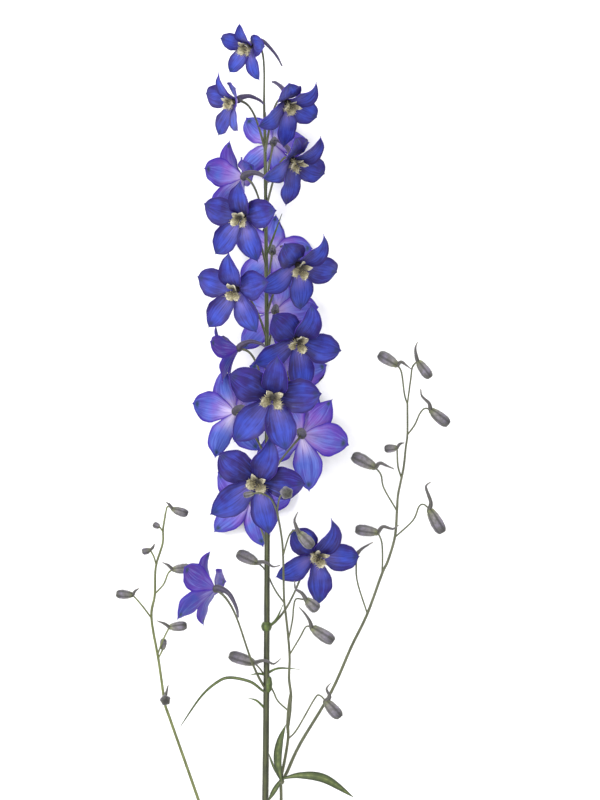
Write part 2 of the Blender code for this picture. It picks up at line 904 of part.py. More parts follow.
def bud_shapes(bud, branch):
    """A bud with its spur in one tube, and the stalk that holds it to its branch."""
    base, nose = Vector(bud.base), Vector(bud.nose)
    line = [Vector(point) for point in reversed(bud.spur)]
    radii = [0.4 + 0.45 * i / max(1, len(line)) for i in range(len(line))]
    line.append(base)
    radii.append(bud.radius * 0.45)
    for share, full in ((0.3, 0.88), (0.66, 1.0), (0.93, 0.62)):
        line.append(base.lerp(nose, share))
        radii.append(bud.radius * full)
    line.append(nose)
    radii.append(bud.radius * 0.25)
    stalk = [on_branch(branch, bud.foot), *(Vector(bend) for bend in bud.bends), base]
    stalk.append(base.lerp(nose, 0.12))
    return [
        tube("bud", [world(*point) for point in line], radii, sides=5),
        tube("stalk", [world(*point) for point in stalk], [BUD_STALK_RADIUS] * len(stalk), 3),
    ]


def make_spray(name, branch, buds):
    """A side branch with its buds."""
    count = len(branch) - 1
    shrink = BRANCH_TIP_RADIUS - BRANCH_FOOT_RADIUS
    radii = [BRANCH_FOOT_RADIUS + shrink * i / count for i in range(count + 1)]
    shapes = [tube(name, [world(*point) for point in branch], radii, sides=5)]
    for bud in buds:
        shapes += bud_shapes(bud, branch)
    fuse(name, shapes, bud_grey())


def lobe_blade(lobe, stations):
    """A leaf lobe as a blade that lies flat to the eye, pointed at its tip."""
    line = smooth_path([world(*point) for point in lobe.midrib], 8)
    rows = []
    for u in stations:
        here = line[round(u * (len(line) - 1))]
        ahead = line[min(round(u * (len(line) - 1)) + 1, len(line) - 1)]
        behind = line[max(round(u * (len(line) - 1)) - 1, 0)]
        side = Vector((0, 0, 1)).cross(ahead - behind).normalized()
        power = math.log(0.5) / math.log(lobe.widest)
        share = 0.22 * (1 - u) + (0.78 + 0.22 * u) * math.sin(math.pi * u**power)
        half = lobe.width / 2 * max(share, 0.2) * MM
        rows.append([here] if u == 1.0 else [here - side * half, here + side * half])
    return blade_from_rows(lobe.name, rows)


def make_leaves():
    """The leaf at the fork, fused from its lobes, and the long narrow leaf below the spike."""
    shapes = [ball("leaf_foot", world(*LEAF_FOOT), LEAF_FOOT_RADII, 6, 4)]
    for lobe in FORK_LOBES:
        shapes.append(lobe_blade(lobe, (0.0, 0.25, 0.5, 0.75, 1.0)))
    fuse("fork_leaf", shapes, leaf_green())
    long_stations = (0.0, 0.15, 0.3, 0.45, 0.6, 0.8, 1.0)
    fuse("long_leaf", [lobe_blade(LONG_LEAF, long_stations)], leaf_green())


for old in list(bpy.data.objects):
    bpy.data.objects.remove(old)
PLANT = bpy.data.collections.new("delphinium_flower_spike")
bpy.context.scene.collection.children.link(PLANT)

make_stem()
make_spray("left_spray", LEFT_BRANCH, LEFT_BUDS)
make_spray("middle_spray", MIDDLE_BRANCH, MIDDLE_BUDS)
make_spray("right_spray", RIGHT_BRANCH, RIGHT_BUDS)
make_leaves()
for flower in BLOOMS:
    make_bloom(flower)
    make_heart(flower)
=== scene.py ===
"""A cut delphinium stem in flower, lying on a pale floor and seen from straight above.

The plan is the one the solids were built from. It is written in millimetres, as places on
the lying stem: across is to the right of the stem's foot, along is up the stem from its cut
end, and height is above the surface. Each piece is finer than the solid it stands for.
"""

import json
import math
import random
from dataclasses import dataclass, replace

import bpy
from mathutils import Matrix, Vector
from mathutils.geometry import interpolate_bezier

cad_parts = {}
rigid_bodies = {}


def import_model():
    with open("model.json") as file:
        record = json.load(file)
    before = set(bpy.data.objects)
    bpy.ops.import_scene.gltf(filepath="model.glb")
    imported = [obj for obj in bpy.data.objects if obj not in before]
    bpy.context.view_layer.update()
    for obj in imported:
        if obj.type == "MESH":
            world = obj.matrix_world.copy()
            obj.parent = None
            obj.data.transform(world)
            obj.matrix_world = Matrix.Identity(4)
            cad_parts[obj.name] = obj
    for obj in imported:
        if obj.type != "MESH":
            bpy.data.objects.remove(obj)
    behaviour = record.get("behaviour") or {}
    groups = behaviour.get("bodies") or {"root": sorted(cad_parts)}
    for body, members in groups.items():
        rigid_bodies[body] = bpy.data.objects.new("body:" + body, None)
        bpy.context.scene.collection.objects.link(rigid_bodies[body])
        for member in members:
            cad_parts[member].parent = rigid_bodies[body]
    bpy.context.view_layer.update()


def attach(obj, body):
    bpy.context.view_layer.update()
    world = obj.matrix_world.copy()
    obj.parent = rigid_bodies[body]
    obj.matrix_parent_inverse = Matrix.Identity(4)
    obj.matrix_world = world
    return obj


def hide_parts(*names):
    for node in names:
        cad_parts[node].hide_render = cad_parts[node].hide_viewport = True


MM = 0.001

# The middle of the whole plant, seen from above, which is where the origin lies.
MIDDLE_ACROSS = 8.9
MIDDLE_ALONG = 258.7

STEM_FOOT_RADIUS = 1.75
STEM_TIP_RADIUS = 0.7
STEM_TAPER = 1.4
STEM_TIP_ALONG = 474.0
STEM_SPIKE_HEIGHT = 26.0
STEM_FOOT_HEIGHT = 0.66 * STEM_FOOT_RADIUS
STEM_RISE_FROM = 25.0
STEM_RISE_TO = 300.0
STEM_FOOT_ACROSS = -0.8
STEM_BOW = 1.9
STEM_BOW_FROM = 60.0
STEM_BOW_LENGTH = 460.0

# Stalks and bracts: radii, and where a flower's stalk ends inside its receptacle.
PEDICEL_RADIUS = 0.6
PEDICEL_FLARE = 1.15
PEDICEL_WAIST = 0.3
PEDICEL_END = (0.0, -0.7, -2.3)
PEDICEL_END_PULL = 0.26
PEDICEL_END_RISE = 0.10
BRANCH_FOOT_RADIUS = 0.85
BRANCH_TIP_RADIUS = 0.5
BUD_STALK_RADIUS = 0.42
BUD_STALK_INSIDE = 0.12
BRACT_RADII = (0.63, 0.525, 0.168)
SWELLING_TAPER = ((-1, 0.2), (-0.6, 0.8), (0, 1.0), (0.6, 0.8), (1, 0.2))

# A sepal's claw and thin tip as shares of its width, where along it the tip turns aside, and
# the size and pace of the waves in its edge.
SEPAL_CLAW = 0.10
SEPAL_TIP = 0.075
SEPAL_TIP_REACH = 0.05
SEPAL_BODY = 0.97
SEPAL_TURN_FROM = 0.55
SEPAL_EDGE_WAVES = ((0.025, 13), (0.015, 29))

# The inner petals' seat stands above the bloom's middle, and reaches up and down from there.
HEART_SEAT = 2.6
HEART_SEAT_HEIGHTS = (-1.8, -0.4, 0.7)
HEART_SEAT_RADII = (1.8, 1.75, 1.3)
HEART_SPREAD = 1.02
HEART_STEEPEST = 84

# A leaf lobe's foot and thin tip as shares of its width, and how far it is folded.
LOBE_FOOT = 0.22
LOBE_TIP = 0.2
LOBE_TIP_REACH = 0.15
LOBE_CUP = 0.25

# The receptacle's middle line and radius, and the spur's radius at shares of its length.
RECEPTACLE = (((0, 0, 1.0), 1.5), ((0, 0.2, -0.6), 2.2))
SPUR_LENGTH = 19.0
SPUR_TAPER = ((0.14, 1.75), (0.5, 1.25), (0.85, 0.9), (1.0, 0.55))
SPUR_ROOT_RISE = 0.8
GROUND_GREEN = 0.9

# A bud's radius from its base at 0 to its nose at 1, as shares of its full radius.
BUD_TAPER = (
    (0.0, 0.40),
    (0.10, 0.66),
    (0.28, 0.86),
    (0.58, 1.0),
    (0.80, 0.94),
    (0.93, 0.74),
    (1.0, 0.50),
)
# The share of a bud's colours that its spur takes, and the radius of that spur's two ends.
BUD_SPUR_SHARE = 0.4
BUD_SPUR_TIP = 0.22
BUD_SPUR_ROOT = 1.17

# How many steps a path is drawn in over its whole length, and then over each of its spans.
SEPAL_STEPS = 26
HEART_STEPS = 10
STEM_STEPS = 90
PEDICEL_STEPS = 18
STALK_SPAN = 5
BUD_SPAN = 4
BRACT_SPAN = 6
LOBE_SPAN = 8
SWELLING_SPAN = 3
SEAT_SPAN = 2

# What the blades are grown with. A ripple bends a blade by that share of its half width.
SEPAL_BLADE = {"Columns": 15, "Thickness": 0.32 * MM, "Ripple": 0.9, "Ripple Size": 7.0}
HEART_BLADE = {"Columns": 7, "Thickness": 0.35 * MM, "Ripple": 2.4, "Ripple Size": 2.2}
LEAF_BLADE = {"Columns": 9, "Thickness": 0.4 * MM, "Ripple": 0.6, "Ripple Size": 5.0}

# What the tubes are grown with. Lobes stand round a tube, and its grain is in millimetres.
SPUR_TUBE = {"Sides": 14, "Lobe Depth": 0.04, "Roughness": 0.25 * MM, "Grain Size": 1.6}
SEAT_TUBE = {"Sides": 12, "Lobe Depth": 0.08, "Roughness": 0.2 * MM, "Grain Size": 1.0}
STEM_TUBE = {"Sides": 24, "Lobe Depth": 0.05, "Roughness": 0.12 * MM, "Grain Size": 3.0}
PEDICEL_TUBE = {"Sides": 10, "Lobe Depth": 0.05, "Roughness": 0.12 * MM, "Grain Size": 3.0}
BUD_STALK_TUBE = {"Sides": 10, "Lobe Depth": 0.04, "Roughness": 0.1 * MM, "Grain Size": 3.0}
BUD_TUBE = {"Sides": 25, "Lobe Depth": 0.1, "Roughness": 0.4 * MM, "Grain Size": 2.0}
CUSHION_TUBE = {"Sides": 12, "Lobe Depth": 0.05, "Roughness": 0.1 * MM, "Grain Size": 2.0}
LOBES = 5.0
STEM_LOBES = 4.0

# Seeds of the ripples and grain, and of where the hairs stand. A bloom's is its number.
STEM_SEED = 1.0
BRANCH_SEED = 2.0
LEAF_SEED = 4.0
STEM_DOWN_SEED = 3
BRANCH_DOWN_SEED = 5

# What hairs are grown with. They stand past From, a share of the way along, or everywhere.
STEM_DOWN = {"Density": 1.2 / MM**2, "Length": 0.4 * MM, "Width": 0.04 * MM, "From": -1.0}
BRANCH_DOWN = {"Density": 1.2 / MM**2, "Length": 0.45 * MM, "Width": 0.04 * MM, "From": -1.0}
BUD_DOWN = {"Density": 2.4 / MM**2, "Length": 0.45 * MM, "Width": 0.04 * MM, "From": -1.0}
BEARD = {"Density": 2.6 / MM**2, "Length": 1.7 * MM, "Width": 0.11 * MM, "From": 0.25}

# Points nearer than this are one, and an edge sharper than this angle stays sharp.
BLADE_SEAM = 0.01 * MM
TUBE_SEAM = 0.005 * MM
SHARP_ANGLE = 50

# The camera, the softboxes and the floor, in metres and watts.
CAMERA_HEIGHT = 4.03
CAMERA_AIM = (0.0086, 0.0713)
CAMERA_SENSOR = 36.0
PLANT_MIDDLE_HEIGHT = 0.03
VIEW_HEIGHT = 0.400
LIGHT_AIM = (0.0, 0.08, 0.0)
SURROUND_STRENGTH = 1.2
# Each softbox's name, place, width and power.
SOFTBOXES = (
    ("overhead_softbox", (-0.10, 0.15, 2.4), 1.8, 26.0),
    ("left_softbox", (-1.5, 0.7, 1.3), 0.6, 26.0),
)
FLOOR_REACH = 6.0
FLOOR_HEIGHT = -0.0003


@dataclass
class Sepal:
    """One sepal of a full-sized bloom: leans are forward of the bloom's plane, in degrees."""

    name: str
    angle: float
    length: float
    width: float
    widest: float
    bluntness: float
    lean_base: float
    lean_tip: float
    cup: float
    root: float = 1.1
    twist: float = 0.0
    shade: float = 0.3
    tip_twist: float = 0.0
    tip_side: float = 0.0


SEPALS = (
    Sepal("upper", 90, 22.5, 12.5, 0.48, 0.90, 58, -28, 0.34, shade=0.45),
    Sepal("left", 161, 22.0, 15.5, 0.58, 0.66, 34, -6, 0.16, shade=0.60),
    Sepal("right", 19, 22.0, 15.5, 0.58, 0.66, 34, -6, 0.16, shade=0.50),
    Sepal("lower_left", -124, 25.5, 13.4, 0.56, 0.80, 32, -8, 0.20, shade=0.20),
    Sepal("lower_right", -58, 25.5, 13.4, 0.56, 0.80, 32, -8, 0.20, shade=0.20),
)

# The four small white petals in the throat, which open like a bee's wings and legs.
HEART_PETALS = (
    Sepal("horn_left", 126, 6.6, 3.2, 0.60, 0.60, 68, 36, 0.35, 1.0),
    Sepal("horn_right", 54, 6.6, 3.2, 0.60, 0.60, 68, 36, 0.35, 1.0),
    Sepal("beard_left", -136, 6.4, 4.4, 0.62, 0.55, 60, 20, 0.15, 1.0),
    Sepal("beard_right", -44, 6.4, 4.4, 0.62, 0.55, 60, 20, 0.15, 1.0),
)


@dataclass
class Bloom:
    """One open flower. Turn 0 looks straight up from the surface and 90 to the right.

    Nod tips it towards the stem's tip, and roll turns it round its own middle, in degrees.
    Size is a share of a full-grown bloom, and close folds its sepals forward by degrees.
    Its stalk leaves the stem drop millimetres below it, and rise and sweep bend that stalk.
    Depth darkens its side sepals and dusk their outer faces, from 0 to 1. The tip of its
    upper sepal is drawn tip_side millimetres to one side.
    """

    name: str
    across: float
    along: float
    height: float
    turn: float
    nod: float = 0.0
    roll: float = 0.0
    size: float = 1.0
    close: float = 0.0
    drop: float = 25.0
    rise: float = 0.42
    sweep: float = 0.28
    spur_lift: float = 14.0
    spur_curl: float = -5.0
    spur_swing: float = 0.0
    depth: float = 0.0
    dusk: float = 0.0
    tip_side: float = 0.8


# From the tip of the spike down: place, turn, nod, roll, size and close come first.
BLOOMS = (
    Bloom(
        "01", -6.5, 507.5, 41.0, -44, -22, -12, 0.72, 14, drop=39, spur_lift=6, spur_curl=-18,
        spur_swing=6, depth=-0.3,
    ),
    Bloom("02", -14.0, 479.5, 38.0, -58, -10, 3, 0.80, 12, drop=24, spur_lift=8, spur_curl=-7),
    Bloom("03", 10.5, 479.0, 46.0, 38, -34, -32, 0.88, 8, spur_lift=20, tip_side=3.0),
    Bloom("04", 4.0, 459.0, 12.0, 180, 0, 18, 0.84, dusk=0.15),
    Bloom("05", 13.1, 450.5, 35.0, 44, -32, -34, 0.90, 8, spur_lift=20, tip_side=3.5),
    Bloom("06", -11.0, 441.5, 29.0, -132, 0, 0, 0.95, 12, spur_curl=-8, dusk=0.3),
    Bloom("07", -10.4, 421.5, 44.0, -28, -14, -8, 0.96, spur_lift=24),
    Bloom("08", 3.5, 404.5, 7.9, 180, 0, 8, 0.94),
    Bloom("09", 16.0, 398.0, 42.0, 32, -28, -22, 0.98, tip_side=3.5),
    Bloom("10", -13.6, 385.3, 46.0, -28, -14, -6, 0.98),
    Bloom("11", 5.0, 374.5, 14.0, 180, 0, 10, 0.98),
    Bloom("12", 15.8, 360.5, 43.0, 15, -24, -26, 1.04, tip_side=4.0),
    Bloom("13", -13.5, 355.5, 30.0, -104, -14, 0, 0.78, 18, spur_lift=18, spur_curl=-8, dusk=1.0),
    Bloom("14", 4.0, 332.0, 53.5, 0, -12, -12, 1.14, depth=0.6),
    Bloom("15", 11.8, 341.0, 7.9, 180, 0, 0, 0.98, dusk=0.1),
    Bloom("16", -15.0, 324.0, 24.0, -156, 0, -8, 1.0, dusk=0.1),
    Bloom("17", 18.5, 312.5, 21.5, 168, 0, 32, 1.12, dusk=0.3),
    Bloom("18", -3.2, 289.8, 43.0, -6, -10, -22, 1.12, depth=0.6, tip_side=3.5),
    Bloom("19", -7.5, 280.0, 7.9, 180, 0, 16, 0.98),
    Bloom(
        "20", -25.0, 235.5, 30.0, -124, 10, 12, 0.94, 10, drop=51, rise=0.3, sweep=0.5,
        spur_lift=0, spur_curl=-12, dusk=0.9,
    ),
    Bloom("21", 25.0, 253.0, 32.0, 22, -16, -24, 0.98, drop=37, rise=0.15, sweep=0.6, tip_side=4.0),
)


@dataclass
class Bud:
    """A closed flower: its base sits on a stalk, and its nose points away from its spur.

    Foot is how far along the stalk leaves its branch, and bends are the stalk's own.
    """

    foot: float
    base: tuple
    nose: tuple
    radius: float
    bends: tuple = ()
    spur: tuple = ()


# Each side branch from its foot inside what bears it to its tip: across, along and height.
LEFT_BRANCH = (
    (-1.6, 29, 1.4),
    (-4.2, 36, 1.6),
    (-17, 80, 3.2),
    (-34, 130, 6),
    (-48, 170, 8),
    (-50.5, 178, 8.5),
    (-53.5, 198.5, 9),
    (-57.2, 220.5, 9.5),
    (-55.5, 232, 10),
    (-55, 246, 10.5),
    (-51.5, 258, 11),
    (-51.3, 265, 11.5),
    (-50, 273.5, 12),
)
MIDDLE_BRANCH = (
    (0.6, 82, 3.9),
    (4.6, 92, 6.6),
    (7.6, 115, 10.0),
    (8, 130, 12.5),
    (8, 140, 14.5),
    (10, 150.5, 17),
    (11.5, 160.5, 19.5),
    (11.5, 170.5, 22),
    (13, 181, 24.5),
    (12, 190.5, 27),
    (12.3, 201, 30),
    (11.5, 212.5, 33),
    (10.5, 222, 36),
    (9.5, 231.5, 39),
    (9, 254, 46),
    (8, 264, 50),
    (6, 275, 56),
)
RIGHT_BRANCH = (
    (8.5, 139.4, 14.8),
    (10.8, 143, 15.2),
    (17.5, 157.5, 17),
    (33, 183.5, 20),
    (43, 206, 22),
    (51, 222.5, 23),
    (58.5, 243, 24),
    (61.5, 249.5, 24),
    (65, 261.5, 24),
    (66, 274, 24),
    (66.5, 282, 24),
    (68, 289.5, 23.5),
    (69.5, 297, 23),
    (70.5, 306.5, 22.5),
    (71.3, 313, 22),
    (71.3, 328.5, 21),
)

# The buds of each branch, nearly all in order from its tip down.
LEFT_BUDS = (
    Bud(
        foot=273, base=(-46.5, 275.3, 14), nose=(-38.8, 272.8, 14.5), radius=2.2,
        bends=((-49, 276.5, 13.5),),
        spur=((-48, 277.5, 15), (-49.8, 278.8, 15)),
    ),
    Bud(foot=264, base=(-53, 266.2, 12.5), nose=(-56.2, 267.6, 13), radius=1.6),
    Bud(
        foot=247, base=(-57.8, 254.6, 13), nose=(-61.8, 253.6, 13), radius=1.7,
        bends=((-56, 251.5, 12),),
        spur=((-56.3, 256, 14), (-55.5, 257.8, 14)),
    ),
    Bud(
        foot=232.5, base=(-46.3, 245, 15), nose=(-37.5, 245.8, 15.5), radius=2.4,
        bends=((-51, 237.5, 13), (-48.7, 243, 14.5)),
        spur=((-48.5, 247, 16), (-51.6, 248.6, 16)),
    ),
    Bud(
        foot=220.5, base=(-66.6, 232, 12.5), nose=(-74.8, 232.6, 12.5), radius=2.3,
        bends=((-62.5, 227.5, 11.5),),
        spur=((-65.3, 234, 13.5), (-63.2, 235.5, 13.5)),
    ),
    Bud(
        foot=202, base=(-48, 216, 15), nose=(-39.3, 217, 15.5), radius=2.4,
        bends=((-51.5, 209, 14.5),),
        spur=((-50.5, 217.8, 16), (-54.3, 219.3, 16)),
    ),
    Bud(foot=200, base=(-51.6, 204.5, 10.5), nose=(-51, 210, 11), radius=1.7),
    Bud(
        foot=179.5, base=(-50.3, 179.8, 11), nose=(-50.0, 179.0, 15.5), radius=2.6,
        spur=((-49.6, 183, 11.5), (-48.6, 187, 11)),
    ),
)
MIDDLE_BUDS = (
    Bud(
        foot=274.5, base=(9.6, 284.6, 59), nose=(11.6, 283.6, 66), radius=3.0,
        bends=((7.2, 281, 57.5),),
    ),
    Bud(
        foot=274.5, base=(-5.5, 283.6, 61), nose=(-10.5, 282.5, 61.5), radius=1.5,
        bends=((3, 281, 58), (-2, 283.8, 60.5)),
    ),
    Bud(
        foot=252.5, base=(17, 264, 53.5), nose=(23.8, 257, 53), radius=2.9,
        bends=((11.4, 260.7, 50.5), (13, 264, 52), (14.8, 265.2, 53)),
        spur=((15.5, 267.5, 55), (14.8, 270.5, 55.5), (16.5, 274.5, 55)),
    ),
    Bud(
        foot=210, base=(20.6, 230.6, 48.5), nose=(26.5, 225.6, 47), radius=2.9,
        bends=((13.7, 220, 38), (14.3, 226.8, 43.5), (15.4, 230.8, 46.5), (18.6, 230.8, 48)),
        spur=((18.4, 234, 50), (15.4, 236, 50), (14.8, 240, 49.5)),
    ),
    Bud(
        foot=202.5, base=(23.4, 216.5, 38), nose=(34.3, 209.5, 38), radius=3.1,
        bends=((17.5, 211.5, 34), (20.5, 216.8, 36.5)),
        spur=((22.5, 219.5, 39.5), (20, 223.5, 40), (17, 226.7, 39.5)),
    ),
    Bud(
        foot=228.5, base=(-4, 248.5, 22), nose=(-14, 253.2, 24), radius=3.0,
        bends=((6, 233.5, 31), (3.6, 237.5, 22), (1.5, 242, 18.8), (-1, 246, 19.5)),
        spur=((-1.5, 249, 25.5), (1, 248.4, 27), (4, 246.6, 27.3), (7.5, 247.2, 27)),
    ),
    Bud(
        foot=174, base=(-5.5, 198, 17), nose=(-18, 202, 19), radius=3.0,
        bends=((6.5, 179, 20), (4.2, 183.5, 15.5), (1, 189.5, 13), (-2.5, 195, 15)),
        spur=((-3, 199, 20.5), (0.5, 199.4, 22.3), (4.3, 197.8, 22.8), (8, 200.5, 22.5)),
    ),
    Bud(
        foot=160, base=(30.3, 179.4, 26), nose=(37.8, 171.2, 26), radius=3.0,
        bends=((16, 165, 21), (24.7, 180.3, 25), (27.3, 182.2, 25.5)),
        spur=((32.5, 181.5, 27.5), (30.8, 185.5, 28), (33, 188.5, 27.5)),
    ),
)
RIGHT_BUDS = (
    Bud(
        foot=328, base=(66, 347.5, 25), nose=(56.8, 353, 25.5), radius=2.9,
        bends=((69.8, 333, 22), (68.3, 343.8, 24)),
        spur=((68, 349, 26.5), (70.5, 347.5, 27), (73.5, 345.2, 26.5)),
    ),
    Bud(
        foot=328, base=(76.5, 349.5, 25), nose=(82.8, 341.2, 25.5), radius=2.6,
        bends=((73, 341, 23.5), (73.8, 346.5, 24.5)),
        spur=((75.6, 352.5, 26.5), (75.3, 356.2, 27), (76.4, 359.2, 27)),
    ),
    Bud(
        foot=312.5, base=(83, 325, 25.5), nose=(92, 317.8, 26), radius=2.9,
        bends=((74.9, 317.5, 23), (77.5, 323.2, 24.5), (80, 325.8, 25)),
        spur=((82, 328.5, 27), (78.5, 332, 27.5), (77.9, 335.7, 27)),
    ),
    Bud(
        foot=291, base=(66, 306, 27), nose=(59.8, 305.4, 27.5), radius=2.1,
        bends=((66.5, 297, 25),),
        spur=((67.5, 308, 28), (69.8, 308.6, 27.8)),
    ),
    Bud(
        foot=274.5, base=(55, 296.3, 27), nose=(43.6, 302.2, 27.5), radius=3.1,
        bends=((59.5, 285.8, 25.5), (58, 292.5, 26.5)),
        spur=((57.5, 298.4, 28.5), (61, 297, 29), (64.5, 295.5, 28.5)),
    ),
    Bud(
        foot=261.2, base=(82.3, 275.2, 26.5), nose=(89, 263.6, 27), radius=3.1,
        bends=((74, 269.7, 25), (77, 276.6, 25.5), (79.5, 277.7, 26)),
        spur=((83, 279, 28), (80.8, 285, 28.5), (80.7, 287.3, 28.5), (83, 289, 28)),
    ),
    Bud(
        foot=243, base=(56.3, 263.6, 27), nose=(45.2, 265.3, 27.5), radius=2.8,
        bends=((58.8, 250, 25), (58.4, 258.7, 26.5)),
        spur=((59, 266.6, 28.5), (63.9, 265.5, 28.8), (66.9, 267.5, 28.5)),
    ),
    Bud(
        foot=223, base=(45.8, 252.5, 24), nose=(38, 247, 23), radius=2.7,
        bends=((46, 240, 24),),
        spur=((48.5, 255.5, 25), (54, 258.8, 25)),
    ),
)

# Thin bracts that grow from the main stem, each from its foot to its tip.
BRACTS = (
    ((1.0, 193, 17.7), (7, 195.5, 18.5), (17.5, 195, 19.5)),
    ((1.0, 192, 17.5), (-3.5, 192.8, 18.0), (-7.5, 192, 17.5)),
    ((1.0, 174, 15.0), (-4, 179, 16.5), (-8.5, 180.5, 17)),
    ((1.0, 216, 20.5), (5.5, 220, 23), (9, 227.5, 25)),
    ((0.8, 403, 26.0), (4, 411, 32), (8.5, 423, 36)),
)

# Swellings of the main stem where leaves have fallen or a shoot sleeps: across,
# along, radius and reach.
STEM_KNOTS = ((0.7, 216.5, 2.6, 2.9), (1.6, 187.5, 2.0, 4.6))
# The sheath where a leaf clasps the middle branch: its middle, its reach and its radius.
SHEATH = ((12.0, 174.0, 22.8), (1.0, 11.0, 2.6), 1.2)


@dataclass
class Lobe:
    """A leaf lobe along its midrib, as wide as stated where it is widest."""

    midrib: tuple
    width: float
    widest: float = 0.45
    bluntness: float = 1.0


# The leaf at the fork, whose lobes spread over the side branches: one up the branch, a thin
# one, one to the right and one down. Its foot is a low cushion on the middle branch: its
# middle, its reach and its radius.
LEAF_FOOT = ((8.2, 138.5, 16.1), (0.0, 0.0, 1.4), 1.5)
FORK_LOBES = (
    Lobe(((8.2, 138.5, 17.0), (6.3, 149, 19.5), (7.4, 159, 22), (10.6, 168, 24)), 4.2),
    Lobe(((7.8, 139, 17.0), (3.9, 147, 17.8), (1.6, 153.5, 18)), 1.3),
    Lobe(((8.2, 140, 17.0), (17.5, 141.8, 18.6), (30, 140, 17), (45, 130, 9)), 4.6, 0.6),
    Lobe(((8.6, 140.5, 17.0), (4.6, 134, 15.5), (1.2, 128, 13.5)), 2.6),
)
LONG_LEAF = Lobe(
    (
        (0.0, 183.6, 17.3),
        (-1.6, 184.5, 17.8),
        (-7.5, 188.8, 19.5),
        (-17.5, 190.8, 19),
        (-24, 188.5, 17.2),
        (-32.5, 180.7, 12.5),
        (-43.5, 164.5, 4.5),
    ),
    1.6,
    widest=0.5,
    bluntness=0.5,
)


def world(across, along, height):
    """A place on the plan, in the row frame and in metres."""
    return Vector((across - MIDDLE_ACROSS, along - MIDDLE_ALONG, height)) * MM


def on_plan(points):
    """The same for a list of places."""
    return [world(*point) for point in points]


def smooth_step(t):
    t = min(1.0, max(0.0, t))
    return t * t * (3 - 2 * t)


def stem_height(along):
    rise = smooth_step((along - STEM_RISE_FROM) / (STEM_RISE_TO - STEM_RISE_FROM))
    return STEM_FOOT_HEIGHT + (STEM_SPIKE_HEIGHT - STEM_FOOT_HEIGHT) * rise


def stem_across(along):
    """The stem bows a little to the right through its spike."""
    share = (along - STEM_BOW_FROM) / STEM_BOW_LENGTH
    return STEM_FOOT_ACROSS + STEM_BOW * math.sin(math.pi * share)


def stem_radius(along):
    share = min(1.0, along / STEM_TIP_ALONG)
    return STEM_FOOT_RADIUS + (STEM_TIP_RADIUS - STEM_FOOT_RADIUS) * share**STEM_TAPER


def on_stem(along):
    return Vector((stem_across(along), along, stem_height(along)))


def facing(turn, nod, roll):
    """A bloom's right, up and forward directions as a matrix's columns."""
    turn, nod, roll = (math.radians(angle) for angle in (turn, nod, roll))
    forward = Vector((math.sin(turn) * math.cos(nod), math.sin(nod), math.cos(turn) * math.cos(nod)))
    up = (Vector((0, 1, 0)) - forward * forward.y).normalized()
    right = up.cross(forward)
    columns = Matrix((right, up, forward)).transposed()
    return columns @ Matrix.Rotation(roll, 3, "Z")


def bloom_place(bloom):
    """The matrix that carries a bloom's own frame, in metres, to where it opens."""
    turned = facing(bloom.turn, bloom.nod, bloom.roll).to_4x4()
    return Matrix.Translation(world(bloom.across, bloom.along, bloom.height)) @ turned


def varied(sepal, bloom):
    """The sepal as it grew on this bloom: no two are quite alike."""
    draw = random.Random(f"{bloom.name} {sepal.name}")
    grown = replace(
        sepal,
        angle=sepal.angle + draw.uniform(-5, 5),
        length=sepal.length * bloom.size * draw.uniform(0.95, 1.04),
        width=sepal.width * bloom.size * draw.uniform(0.94, 1.05),
        lean_base=sepal.lean_base + bloom.close + draw.uniform(-4, 4),
        lean_tip=sepal.lean_tip + bloom.close + draw.uniform(-8, 8),
        twist=draw.uniform(-14, 14),
    )
    depth = bloom.depth if sepal.name in ("left", "right") else bloom.depth * 0.5
    depth += random.Random(f"tone {bloom.name}").uniform(-0.12, 0.12)
    grown.shade = min(1.0, max(0.0, sepal.shade + depth + draw.uniform(-0.18, 0.18)))
    if sepal.name == "upper":
        grown.tip_twist = draw.choice((-1, 1)) * draw.uniform(25, 50)
        grown.tip_side = bloom.tip_side
    else:
        grown.tip_twist = draw.uniform(-22, 22)
        grown.tip_side = draw.uniform(-1.2, 1.2)
    return grown


def feed(tree, node, inputs):
    """Gives each named or numbered input of a node a value, a colour, a socket or a node."""
    for key, value in inputs.items():
        if isinstance(key, int):
            socket = node.inputs[key]
        else:
            socket = next(s for s in node.inputs if s.enabled and s.name == key)
        if isinstance(value, bpy.types.Node):
            value = next(s for s in value.outputs if s.enabled)
        if isinstance(value, bpy.types.NodeSocket):
            tree.links.new(value, socket)
        elif isinstance(value, str) and value.startswith("#"):
            socket.default_value = linear(value)
        else:
            socket.default_value = value


def add(tree, kind, inputs=None, stops=(), **settings):
    """Adds a node with its settings, its colour stops if it has any, and its inputs fed."""
    node = tree.nodes.new(kind)
    for name, value in settings.items():
        setattr(node, name, value)
    for i, (place, colour) in enumerate(stops):
        elements = node.color_ramp.elements
        element = elements[i] if i < len(elements) else elements.new(place)
        element.position = place
        element.color = linear(colour)
    feed(tree, node, inputs or {})
    return node


def new_tree(name, **sockets):
    """A geometry tree with geometry in and out, and with inputs listed under their kind."""
    tree = bpy.data.node_groups.new(name, "GeometryNodeTree")
    tree.interface.new_socket(name="Geometry", in_out="OUTPUT", socket_type="NodeSocketGeometry")
    for kind, labels in (("Geometry", ["Geometry"]), *sockets.items()):
        for label in labels:
            tree.interface.new_socket(name=label, in_out="INPUT", socket_type="NodeSocket" + kind)
    return tree, tree.nodes.new("NodeGroupInput").outputs


def unevenness(tree, place, size, seed, detail):
    """Smooth noise about zero, with size millimetres from one swelling to the next."""
    scaled = add(tree, "ShaderNodeVectorMath", {0: place, "Scale": 1 / MM}, operation="SCALE")
    frequency = add(tree, "ShaderNodeMath", {0: 1.0, 1: size}, operation="DIVIDE")
    noise = add(
        tree,
        "ShaderNodeTexNoise",
        {"Vector": scaled, "W": seed, "Scale": frequency, "Detail": detail},
        noise_dimensions="4D",
    )
    return add(tree, "ShaderNodeMath", {0: noise, 1: 0.5}, operation="SUBTRACT")


